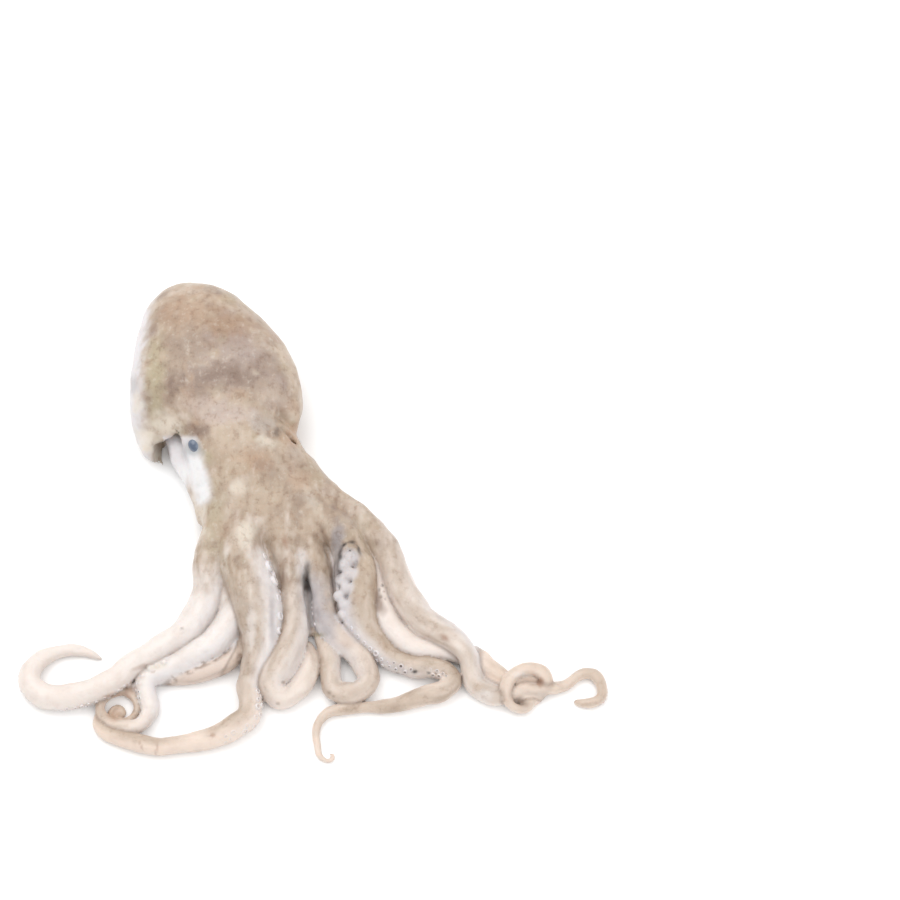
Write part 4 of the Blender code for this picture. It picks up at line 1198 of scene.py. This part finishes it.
        own, line = self.fold_tones(points, gap, noise.fray)
        color = cover(color, 0.6 * Hue.ROSE.row() + 0.4 * Hue.PEACH.row(), own)
        color = cover(color, Hue.BROWN.row(), line)
        # Painted shade: brown laid where two arms lie close together, darkening the creases between them.
        painted_crease_shade = smooth_interval(1.7, 0.1, second - gap) * smooth_interval(26.0, 48.0, along)
        color = cover(color, Hue.BROWN.row(), 0.45 * painted_crease_shade * (1 - body))
        return {"paint": color * self.depth, "pigment": np.clip(share * (1 - white), 0, 1),
                "grip": grip, "flow": flow}

    @staticmethod
    def near_route(route: Route, points: np.ndarray) -> np.ndarray:
        """Gap from each point to a route's round surface."""
        result = np.full(len(points), FAR_AWAY)
        for place, radius in zip(route.points[::2], route.radii[::2]):
            result = np.minimum(result, np.linalg.norm(points - place, axis=1) - radius)
        return result

    def near_funnel(self, points: np.ndarray) -> np.ndarray:
        """Plan distance to the middle line of the funnel."""
        result = np.full(len(points), FAR_AWAY)
        for place in self.funnel.points[::2]:
            away = np.hypot(points[:, 0] - place[0], points[:, 1] - place[1])
            result = np.minimum(result, away)
        return result


class NodeKit:
    """Short calls for adding and wiring shader or geometry nodes."""

    def __init__(self, tree: bpy.types.NodeTree) -> None:
        """Keep the tree that nodes are added to."""
        self.tree = tree

    def add(self, kind: str, **settings: object) -> bpy.types.Node:
        """Add a node and set its properties."""
        node = self.tree.nodes.new(kind)
        for name, value in settings.items():
            setattr(node, name, value)
        return node

    def wire(self, source: bpy.types.NodeSocket, target: bpy.types.NodeSocket) -> None:
        """Link two sockets."""
        self.tree.links.new(source, target)

    def feed(self, target: bpy.types.NodeSocket, source: object) -> None:
        """Link a socket, or set its value when the source is a number or a colour."""
        if isinstance(source, bpy.types.NodeSocket):
            self.wire(source, target)
        elif source is not None:
            target.default_value = source

    def math(self, operation: str, a: object, b: object = None,
             clamp: bool = False) -> bpy.types.NodeSocket:
        """A math node's result."""
        node = self.add("ShaderNodeMath", operation=operation, use_clamp=clamp)
        self.feed(node.inputs[0], a)
        self.feed(node.inputs[1], b)
        return node.outputs[0]

    def ramp(self, value: object, low: float, high: float, start: float = 0.0,
             end: float = 1.0) -> bpy.types.NodeSocket:
        """Smooth step of a value between low and high."""
        node = self.add("ShaderNodeMapRange", interpolation_type="SMOOTHSTEP")
        self.feed(node.inputs["Value"], value)
        node.inputs["From Min"].default_value = low
        node.inputs["From Max"].default_value = high
        node.inputs["To Min"].default_value = start
        node.inputs["To Max"].default_value = end
        return node.outputs["Result"]

    def mix(self, share: object, a: object, b: object,
            blend: str = "MIX") -> bpy.types.NodeSocket:
        """Mix of two colours."""
        node = self.add("ShaderNodeMix", data_type="RGBA", blend_type=blend)
        self.feed(node.inputs[0], share)
        self.feed(node.inputs[6], a)
        self.feed(node.inputs[7], b)
        return node.outputs[2]

    def noise(self, vector: object, scale: float, detail: float = 3.0, rough: float = 0.55,
              warp: float = 0.0) -> bpy.types.NodeSocket:
        """Noise value at a scale per metre."""
        node = self.add("ShaderNodeTexNoise")
        self.feed(node.inputs["Vector"], vector)
        node.inputs["Scale"].default_value = scale
        node.inputs["Detail"].default_value = detail
        node.inputs["Roughness"].default_value = rough
        node.inputs["Distortion"].default_value = warp
        return node.outputs["Fac"]

    def blend(self, share: object, a: object, b: object) -> bpy.types.NodeSocket:
        """Mix of two numbers."""
        node = self.add("ShaderNodeMix", data_type="FLOAT")
        self.feed(node.inputs[0], share)
        self.feed(node.inputs[2], a)
        self.feed(node.inputs[3], b)
        return node.outputs[0]

    def relief(self, height: bpy.types.NodeSocket, strength: float, distance: float,
               shader: bpy.types.Node) -> None:
        """Bump a shader's normal by a height."""
        bump = self.add("ShaderNodeBump")
        bump.inputs["Strength"].default_value = strength
        bump.inputs["Distance"].default_value = distance
        self.wire(height, bump.inputs["Height"])
        self.wire(bump.outputs["Normal"], shader.inputs["Normal"])

    def tone(self, name: str, output: str = "Fac") -> bpy.types.NodeSocket:
        """A painted value of the mesh."""
        return self.add("ShaderNodeAttribute", attribute_name=name).outputs[output]


def plain_material(name: str, values: dict[str, float | Triple]
                   ) -> tuple[bpy.types.Material, NodeKit, bpy.types.Node, bpy.types.NodeSocket]:
    """New material with its even settings made.

    Args:
        name: The material's name.
        values: Settings of the shader by socket name.

    Returns:
        The material, a kit for its nodes, its shader and the Object coordinates.
    """
    material = bpy.data.materials.new(name)
    material.use_nodes = True
    kit = NodeKit(material.node_tree)
    shader = material.node_tree.nodes["Principled BSDF"]
    for socket, value in values.items():
        shader.inputs[socket].default_value = value
    return material, kit, shader, kit.add("ShaderNodeTexCoord").outputs["Object"]


@dataclass(frozen=True)
class SkinFinish:
    """Damp octopus skin: painted colour with fine mottling, fibres and freckles.

    Args:
        dark: Factor colour of the dark mottling.
        pale: Colour of the pale mottling.
        freckle: Colour of the rare freckles.
    """

    dark: Rgba = (0.66, 0.58, 0.53, 1.0)
    pale: Rgba = (0.66, 0.59, 0.52, 1.0)
    freckle: Rgba = (0.10, 0.065, 0.05, 1.0)

    def pigment_group(self) -> bpy.types.ShaderNodeTree:
        """Shared node group that adds fine variation to the painted colour.

        Returns:
            The group, with named inputs and outputs.
        """
        tree = bpy.data.node_groups.new("skin_pigment", "ShaderNodeTree")
        ports = (("Vector", "NodeSocketVector"), ("Flow", "NodeSocketVector"),
                 ("Paint", "NodeSocketColor"), ("Pigment", "NodeSocketFloat"),
                 ("Grip", "NodeSocketFloat"))
        for name, kind in ports:
            tree.interface.new_socket(name, in_out="INPUT", socket_type=kind)
        for name, kind in (("Color", "NodeSocketColor"), ("Roughness", "NodeSocketFloat"),
                           ("Height", "NodeSocketFloat")):
            tree.interface.new_socket(name, in_out="OUTPUT", socket_type=kind)
        kit = NodeKit(tree)
        source = kit.add("NodeGroupInput")
        end = kit.add("NodeGroupOutput")
        vector = source.outputs["Vector"]
        pigment = source.outputs["Pigment"]
        spots = kit.noise(vector, 330.0, 4.0, 0.62)
        fine = kit.noise(vector, 880.0, 3.0, 0.6)
        along = kit.noise(source.outputs["Flow"], 0.42, 4.0, 0.6)
        drawn = kit.add("ShaderNodeMapping")
        kit.wire(vector, drawn.inputs["Vector"])
        drawn.inputs["Scale"].default_value = (1.0, 0.32, 1.0)
        fibres = kit.noise(drawn.outputs["Vector"], 420.0, 4.0, 0.6)
        lines = kit.blend(source.outputs["Grip"], fibres, along)
        spread = kit.math("ADD", kit.math("MULTIPLY", spots, 0.55),
                          kit.math("ADD", kit.math("MULTIPLY", lines, 0.25),
                                   kit.math("MULTIPLY", fine, 0.2)))
        color = source.outputs["Paint"]
        strength = kit.math("ADD", kit.math("MULTIPLY", pigment, 0.56), 0.12)
        low = kit.math("MULTIPLY", kit.ramp(spread, 0.50, 0.36), strength)
        color = kit.mix(low, color, self.dark, "MULTIPLY")
        high = kit.math("MULTIPLY", kit.ramp(spread, 0.52, 0.68), kit.math("MULTIPLY", pigment, 0.34))
        color = kit.mix(high, color, self.pale)
        cells = kit.add("ShaderNodeTexVoronoi", feature="F1")
        kit.wire(vector, cells.inputs["Vector"])
        cells.inputs["Scale"].default_value = 380.0
        speck = kit.ramp(cells.outputs["Distance"], 0.0, 0.15, 1.0, 0.0)
        rare = kit.ramp(kit.noise(vector, 120.0, 2.0), 0.60, 0.68)
        color = kit.mix(kit.math("MULTIPLY", kit.math("MULTIPLY", speck, rare), 0.22), color,
                        self.freckle)
        kit.wire(color, end.inputs["Color"])
        kit.wire(kit.ramp(spots, 0.3, 0.7, 0.34, 0.5), end.inputs["Roughness"])
        height = kit.math("ADD", kit.math("MULTIPLY", spots, 0.5), kit.math("MULTIPLY", fine, 0.3))
        kit.wire(kit.math("ADD", height, kit.math("MULTIPLY", lines, 0.6)), end.inputs["Height"])
        return tree

    def material(self) -> bpy.types.Material:
        """The skin's material."""
        material, kit, shader, place = plain_material("octopus_skin", {
            "IOR": 1.38, "Subsurface Weight": 0.2, "Subsurface Radius": (0.0040, 0.0022, 0.0015),
            "Coat Weight": 0.2, "Coat Roughness": 0.2})
        group = kit.add("ShaderNodeGroup", node_tree=self.pigment_group())
        kit.wire(place, group.inputs["Vector"])
        kit.wire(kit.tone("paint", "Color"), group.inputs["Paint"])
        kit.wire(kit.tone("flow", "Vector"), group.inputs["Flow"])
        kit.wire(kit.tone("pigment"), group.inputs["Pigment"])
        kit.wire(kit.tone("grip"), group.inputs["Grip"])
        kit.wire(group.outputs["Color"], shader.inputs["Base Color"])
        kit.wire(group.outputs["Roughness"], shader.inputs["Roughness"])
        kit.relief(group.outputs["Height"], 0.55, 0.0008, shader)
        return material


@dataclass(frozen=True)
class SuckerFinish:
    """Pale rubbery suckers that take the colour of the skin beside them.

    Args:
        rim: Tone that the rims lean towards.
        cup: Factor tone of the cups.
        ink: Tone of the darkest cups.
    """

    rim: Rgba = (0.66, 0.64, 0.66, 1.0)
    cup: Rgba = (0.72, 0.66, 0.64, 1.0)
    ink: Rgba = (0.10, 0.065, 0.05, 1.0)

    def material(self) -> bpy.types.Material:
        """The suckers' material."""
        material, kit, shader, place = plain_material("sucker_flesh", {
            "Roughness": 0.36, "Subsurface Weight": 0.2,
            "Subsurface Radius": (0.003, 0.0018, 0.0012), "Coat Weight": 0.25,
            "Coat Roughness": 0.15})
        fine = kit.noise(place, 700.0, 3.0)
        cup = kit.math("MULTIPLY", kit.tone("cup"), kit.ramp(fine, 0.2, 0.6, 0.5, 0.9))
        color = kit.mix(0.4, kit.tone("paint", "Color"), self.rim)
        color = kit.mix(cup, color, self.cup, "MULTIPLY")
        color = kit.mix(kit.math("MULTIPLY", kit.tone("ink"), kit.tone("cup")), color, self.ink)
        kit.wire(color, shader.inputs["Base Color"])
        kit.relief(fine, 0.3, 0.0003, shader)
        return material


@dataclass(frozen=True)
class EyeFinish:
    """Glossy dark blue eye.

    Args:
        deep: Colour of its middle.
        haze: Colour towards its rim.
    """

    deep: Tone = Tone.seen(74, 86, 106)
    haze: Tone = Tone.seen(118, 128, 142)

    def material(self) -> bpy.types.Material:
        """The eye's material."""
        material, kit, shader, place = plain_material("eye_gloss", {
            "Roughness": 0.12, "Coat Weight": 0.6, "Coat Roughness": 0.05})
        haze = kit.noise(place, 500.0, 3.0)
        rim = kit.math("MULTIPLY", kit.tone("rim"), kit.ramp(haze, 0.3, 0.7, 0.6, 1.0))
        kit.wire(kit.mix(rim, self.deep.rgba(), self.haze.rgba()), shader.inputs["Base Color"])
        return material


@dataclass(frozen=True)
class FloorFinish:
    """Plain pale floor with a trace of grain.

    Args:
        paint: Its colour.
        grain: Colour of the grain.
    """

    paint: Tone = Tone.seen(250, 250, 250)
    grain: Tone = Tone.seen(240, 240, 240)

    def material(self) -> bpy.types.Material:
        """The floor's material."""
        material, kit, shader, place = plain_material("pale_floor", {"Roughness": 0.7})
        trace = kit.ramp(kit.noise(place, 60.0, 3.0), 0.3, 0.7, 0.0, 0.02)
        kit.wire(kit.mix(trace, self.paint.rgba(), self.grain.rgba()), shader.inputs["Base Color"])
        return material


def make_mesh(name: str, points: np.ndarray, faces: np.ndarray | list,
              tones: dict[str, np.ndarray] | None = None) -> bpy.types.Object:
    """Smooth-shaded mesh object from millimetre points.

    Args:
        name: Name of the object and its mesh.
        points: Vertices in the design frame.
        faces: Vertex indices of each face.
        tones: Painted values for each vertex.

    Returns:
        The linked object.
    """
    mesh = bpy.data.meshes.new(name)
    placed = (np.asarray(points, dtype=float) + SHIFT) * MM
    mesh.from_pydata(placed.tolist(), [], [list(map(int, face)) for face in faces])
    for label, values in (tones or {}).items():
        values = np.asarray(values, dtype=np.float32)
        if label == "paint":
            layer = mesh.attributes.new(label, "FLOAT_COLOR", "POINT")
            full = np.hstack([values, np.ones((len(values), 1), dtype=np.float32)])
            layer.data.foreach_set("color", full.ravel())
        elif values.ndim == 2:
            layer = mesh.attributes.new(label, "FLOAT_VECTOR", "POINT")
            layer.data.foreach_set("vector", values.ravel())
        else:
            layer = mesh.attributes.new(label, "FLOAT", "POINT")
            layer.data.foreach_set("value", values)
    mesh.shade_smooth()
    item = bpy.data.objects.new(name, mesh)
    bpy.context.scene.collection.objects.link(item)
    return item


def lathe(profile: list[tuple[float, float]], sides: int
          ) -> tuple[list[Triple], list[tuple[int, ...]]]:
    """Closed round form that comes to a point on its axis at both ends.

    Args:
        profile: Rows of radius and height from the top down, with radius 0 at both ends.
        sides: Sides of each ring.

    Returns:
        Points, ring by ring, and faces that point outwards.
    """
    points = [(0.0, 0.0, profile[0][1])]
    for radius, height in profile[1:-1]:
        for k in range(sides):
            angle = 2 * math.pi * k / sides
            points.append((radius * math.cos(angle), radius * math.sin(angle), height))
    points.append((0.0, 0.0, profile[-1][1]))
    faces: list[tuple[int, ...]] = [(0, 1 + k, 1 + (k + 1) % sides) for k in range(sides)]
    for level in range(len(profile) - 3):
        for k in range(sides):
            a = 1 + level * sides + k
            b = 1 + level * sides + (k + 1) % sides
            faces.append((a, a + sides, b + sides, b))
    last = len(points) - 1
    base = last - sides
    for k in range(sides):
        faces.append((base + k, last, base + (k + 1) % sides))
    return points, faces


@dataclass
class Flesh:
    """The skin of mantle, head, crown and arms as one closed piece.

    Args:
        crown: The arms and webs.
        mantle: The body sac.
        finish: The skin's finish.
    """

    crown: ArmCrown
    mantle: MantleShape
    finish: SkinFinish = SkinFinish()

    def skin_map(self) -> SkinMap:
        """The painter of this animal's skin."""
        return SkinMap(self.crown, self.mantle, Route.through(FleshBuilder.funnel))

    def build(self) -> bpy.types.Object:
        """Build and dress the skin.

        Returns:
            The finished piece.
        """
        points, quads = FleshBuilder(self.crown, self.mantle).skin()
        tones = self.skin_map().paint(points)
        item = make_mesh("octopus_flesh", points, quads, tones)
        item.data.materials.append(self.finish.material())
        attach(item, "root")
        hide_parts("octopus")
        return item


@dataclass
class Suckers:
    """Two staggered rows of suckers along the listed stretches of the arms.

    Args:
        crown: The arms they sit on.
        skin: Paints the skin that the suckers match.
        finish: Their finish.
        seed: Seed of the size variation.
    """

    crown: ArmCrown
    skin: SkinMap
    finish: SuckerFinish = SuckerFinish()
    seed: int = 5

    def template(self) -> bpy.types.Object:
        """One sucker of unit radius as a lathed cup."""
        levels = ((0.0, 0.42, 1.0), (0.24, 0.45, 1.0), (0.40, 0.58, 0.8), (0.56, 0.76, 0.3),
                  (0.74, 0.80, 0.0), (0.92, 0.66, 0.0), (1.02, 0.42, 0.0), (1.04, 0.1, 0.0),
                  (1.0, -0.9, 0.0), (0.0, -0.9, 0.0))
        sides = 14
        points, faces = lathe([level[:2] for level in levels], sides)
        counts = [1] + [sides] * (len(levels) - 2) + [1]
        cup = np.repeat([level[2] for level in levels], counts)
        mesh = bpy.data.meshes.new("sucker_cup")
        mesh.from_pydata(points, [], faces)
        layer = mesh.attributes.new("cup", "FLOAT", "POINT")
        layer.data.foreach_set("value", np.array(cup, dtype=np.float32))
        mesh.shade_smooth()
        item = bpy.data.objects.new("sucker_cup", mesh)
        bpy.context.scene.collection.objects.link(item)
        return item

    def seats(self) -> dict[str, np.ndarray]:
        """Where each sucker sits: place, facing, radius, ink and paint."""
        rng = np.random.default_rng(self.seed)
        place, facing, size, ink = [], [], [], []
        for arm in self.crown.arms:
            for run in arm.runs:
                s = run.start
                count = 0
                while s < min(run.end, arm.route.arc[-1] - 1.5):
                    fade = min(1.0, 0.6 + (s - run.start) / 12.0, 0.6 + (run.end - s) / 12.0)
                    radius = float(arm.route.radius_at(s))
                    cup = radius * run.share * fade * rng.uniform(0.82, 1.12)
                    _, out, up = arm.frames(s)
                    if run.far:
                        out = -out
                    last = run.lean if run.end_lean is None else run.end_lean
                    lean = run.lean + (last - run.lean) * (s - run.start) / (run.end - run.start)
                    lean = math.radians(lean + (15.0 if count % 2 else -15.0)
                                        + rng.uniform(-5.0, 5.0))
                    normal = out * math.cos(lean) + up * math.sin(lean)
                    centre = arm.route.at(s) + normal * (radius - cup * run.sink)
                    if centre[2] > cup * 0.95:
                        place.append(centre)
                        facing.append(normal)
                        size.append(cup)
                        ink.append(run.ink * rng.uniform(0.6, 1.0))
                    s += cup * run.gap
                    count += 1
        points = np.array(place)
        tones = self.skin.paint(points + np.array(facing) * 0.3)
        return {"place": points, "facing": np.array(facing), "size": np.array(size),
                "ink": np.array(ink), "paint": tones["paint"]}

    def tree(self) -> bpy.types.GeometryNodeTree:
        """Node tree that sets a cup on every seat."""
        tree = bpy.data.node_groups.new("sucker_rows", "GeometryNodeTree")
        face = tree.interface
        face.new_socket("Geometry", in_out="INPUT", socket_type="NodeSocketGeometry")
        face.new_socket("Cup", in_out="INPUT", socket_type="NodeSocketObject")
        face.new_socket("Variation", in_out="INPUT", socket_type="NodeSocketFloat")
        face.new_socket("Seed", in_out="INPUT", socket_type="NodeSocketInt")
        face.new_socket("Finish", in_out="INPUT", socket_type="NodeSocketMaterial")
        face.new_socket("Geometry", in_out="OUTPUT", socket_type="NodeSocketGeometry")
        kit = NodeKit(tree)
        start, end = kit.add("NodeGroupInput"), kit.add("NodeGroupOutput")
        cup = kit.add("GeometryNodeObjectInfo")
        kit.wire(start.outputs["Cup"], cup.inputs["Object"])
        points = kit.add("GeometryNodeMeshToPoints")
        kit.wire(start.outputs["Geometry"], points.inputs["Mesh"])
        turn = kit.add("FunctionNodeAlignRotationToVector", axis="Z")
        heading = kit.add("GeometryNodeInputNamedAttribute", data_type="FLOAT_VECTOR")
        heading.inputs["Name"].default_value = "facing"
        kit.wire(heading.outputs["Attribute"], turn.inputs["Vector"])
        radius = kit.add("GeometryNodeInputNamedAttribute", data_type="FLOAT")
        radius.inputs["Name"].default_value = "radius_here"
        wobble = kit.add("FunctionNodeRandomValue", data_type="FLOAT")
        kit.wire(start.outputs["Seed"], wobble.inputs["Seed"])
        low = kit.math("SUBTRACT", 1.0, start.outputs["Variation"])
        kit.wire(low, wobble.inputs[2])
        wobble.inputs[3].default_value = 1.06
        scale = kit.math("MULTIPLY", radius.outputs["Attribute"], wobble.outputs[1])
        stamp = kit.add("GeometryNodeInstanceOnPoints")
        kit.wire(points.outputs["Points"], stamp.inputs["Points"])
        kit.wire(cup.outputs["Geometry"], stamp.inputs["Instance"])
        kit.wire(turn.outputs["Rotation"], stamp.inputs["Rotation"])
        kit.wire(scale, stamp.inputs["Scale"])
        real = kit.add("GeometryNodeRealizeInstances")
        kit.wire(stamp.outputs["Instances"], real.inputs["Geometry"])
        paint = kit.add("GeometryNodeSetMaterial")
        kit.wire(real.outputs["Geometry"], paint.inputs["Geometry"])
        kit.wire(start.outputs["Finish"], paint.inputs["Material"])
        kit.wire(paint.outputs["Geometry"], end.inputs["Geometry"])
        return tree

    def build(self) -> bpy.types.Object:
        """Build and dress all suckers as one mesh.

        Returns:
            The finished piece.
        """
        found = self.seats()
        seats = make_mesh("sucker_seats", found["place"], [], {
            "facing": found["facing"], "radius_here": found["size"] * MM, "ink": found["ink"],
            "paint": found["paint"]})
        cup = self.template()
        tree = self.tree()
        rows = seats.modifiers.new("rows", "NODES")
        rows.node_group = tree
        finish = self.finish.material()
        inputs = {"Cup": cup, "Variation": 0.18, "Seed": self.seed, "Finish": finish}
        for port in tree.interface.items_tree:
            if port.in_out == "INPUT" and port.name in inputs:
                rows[port.identifier] = inputs[port.name]
        graph = bpy.context.evaluated_depsgraph_get()
        real = bpy.data.meshes.new_from_object(seats.evaluated_get(graph))
        real.name = "arm_suckers"
        item = bpy.data.objects.new("arm_suckers", real)
        bpy.context.scene.collection.objects.link(item)
        real.shade_smooth()
        for helper in (seats, cup):
            bpy.data.objects.remove(helper, do_unlink=True)
        if not real.materials:
            real.materials.append(finish)
        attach(item, "root")
        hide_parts("octopus")
        return item


@dataclass
class Eye:
    """The one visible eye, a glossy lens sunk into the skin.

    Args:
        sight: Where it shows on the plan sheared along the line of sight.
        radii: Half length, half width and half depth of the lens.
        sunk: How deep its middle lies in the skin.
        look: Direction that the lens faces.
        slant: Direction across its long axis.
        spare: Where it sits if the line of sight meets no skin: y and z.
        finish: Its finish.
    """

    sight: tuple[float, float] = (-46.2, 41.7)
    radii: Triple = (2.8, 2.2, 1.8)
    sunk: float = 1.1
    look: Triple = (-0.35, -0.5, 0.79)
    slant: Triple = (0.5, -0.8, 0.0)
    spare: tuple[float, float] = (31.0, 16.0)
    finish: EyeFinish = EyeFinish()

    def seat(self, skin: bpy.types.Object) -> Triple:
        """Where the line of sight to the eye meets the skin, in millimetres."""
        points = np.array([vertex.co[:] for vertex in skin.data.vertices]) / MM - SHIFT
        for z in np.arange(30.0, 6.0, -0.25):
            y = self.sight[1] - SIGHT_SHEAR * z
            near = np.hypot(points[:, 0] - self.sight[0], points[:, 1] - y) < 1.0
            if near.any() and points[near, 2].max() >= z:
                return self.sight[0], y + 0.45 * self.sunk, z - 0.85 * self.sunk
        return self.sight[0], *self.spare

    def build(self, skin: bpy.types.Object) -> bpy.types.Object:
        """Build and dress the eye.

        Args:
            skin: The skin it is set into.

        Returns:
            The finished piece.
        """
        centre = self.seat(skin)
        tilts = np.linspace(0.0, math.pi, 21)
        globe, faces = lathe(list(zip(np.sin(tilts), np.cos(tilts))), 32)
        look = Vector(self.look).normalized()
        long = Vector(self.slant).cross(look).cross(look).normalized()
        turn = Matrix((long, look.cross(long), look)).transposed()
        points, rim = [], []
        for spot in globe:
            rim.append(1.0 - max(min((spot[2] - 0.45) / 0.4, 1.0), 0.0))
            co = turn @ Vector([r * v for r, v in zip(self.radii, spot)])
            points.append([c + v for c, v in zip(centre, co)])
        item = make_mesh("eye", np.array(points), faces, {"rim": np.array(rim)})
        item.data.materials.append(self.finish.material())
        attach(item, "root")
        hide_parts("octopus")
        return item


@dataclass
class Studio:
    """Pale floor, soft light and the camera at the photograph's angle.

    Args:
        elevation: Camera angle above the floor in degrees.
        lens: Focal length in millimetres on a 36 mm frame.
        distance: From the camera to the middle of the frame, in millimetres.
        target: Point of the floor at the middle of the frame, in the design frame.
        finish: The floor's finish.
    """

    elevation: float = 62.0
    lens: float = 135.0
    distance: float = 1350.0
    target: tuple[float, float] = (54.4, 39.87)
    finish: FloorFinish = FloorFinish()

    def floor(self) -> bpy.types.Object:
        """Large gently dished sheet under the animal."""
        size, cells = 1600.0, 24
        points, faces = [], []
        for i in range(cells + 1):
            for j in range(cells + 1):
                x = (i / cells - 0.5) * 2 * size
                y = (j / cells - 0.5) * 2 * size
                away = max(math.hypot(x, y) - 700.0, 0.0)
                points.append((x, y, -0.05 + away * away * 0.00008))
        for i in range(cells):
            for j in range(cells):
                a = i * (cells + 1) + j
                faces.append((a, a + cells + 1, a + cells + 2, a + 1))
        item = make_mesh("floor", np.array(points), faces)
        item.data.materials.append(self.finish.material())
        return item

    def lamp(self, name: str, place: Triple, size: float,
             power: float) -> None:
        """Soft square light that looks at the animal."""
        data = bpy.data.lights.new(name, "AREA")
        data.shape = "SQUARE"
        data.size = size
        data.energy = power
        item = bpy.data.objects.new(name, data)
        item.location = place
        item.rotation_euler = Vector(place).to_track_quat("Z", "Y").to_euler()
        bpy.context.scene.collection.objects.link(item)

    def light(self) -> None:
        """Sky fill and two soft lamps."""
        world = bpy.data.worlds.new("soft_room")
        world.use_nodes = True
        ambient = world.node_tree.nodes["Background"]
        ambient.inputs["Color"].default_value = (1.0, 1.0, 1.0, 1.0)
        ambient.inputs["Strength"].default_value = 1.0
        bpy.context.scene.world = world
        self.lamp("key_lamp", (-0.45, 0.45, 1.15), 1.1, 7.0)
        self.lamp("fill_lamp", (0.7, -0.4, 1.0), 1.2, 4.0)

    def camera(self) -> None:
        """Long lens at the photograph's viewing angle."""
        data = bpy.data.cameras.new("camera")
        data.lens = self.lens
        data.sensor_width = 36.0
        data.clip_start = 0.05
        data.clip_end = 20.0
        item = bpy.data.objects.new("camera", data)
        tilt = math.radians(self.elevation)
        back = np.array([0.0, -math.cos(tilt), math.sin(tilt)])
        eye = (np.array([*self.target, 0.0]) + SHIFT + back * self.distance) * MM
        item.matrix_world = (Matrix.Translation(Vector(eye))
                             @ Matrix.Rotation(math.pi / 2 - tilt, 4, "X"))
        bpy.context.scene.collection.objects.link(item)
        bpy.context.scene.camera = item

    def build(self) -> None:
        """Set up floor, light, camera and plain colour handling."""
        self.floor()
        self.light()
        self.camera()
        bpy.context.scene.view_settings.view_transform = "Standard"


def main() -> None:
    """Build every piece and log each one's face count."""
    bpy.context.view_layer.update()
    crown = ArmCrown()
    mantle = MantleShape()
    flesh = Flesh(crown, mantle)
    skin = flesh.build()
    pieces = [skin, Suckers(crown, flesh.skin_map()).build(), Eye().build(skin)]
    Studio().build()
    for piece in pieces:
        LOG.info("%s: %d faces", piece.name, len(piece.data.polygons))


if __name__ == "__main__":
    main()
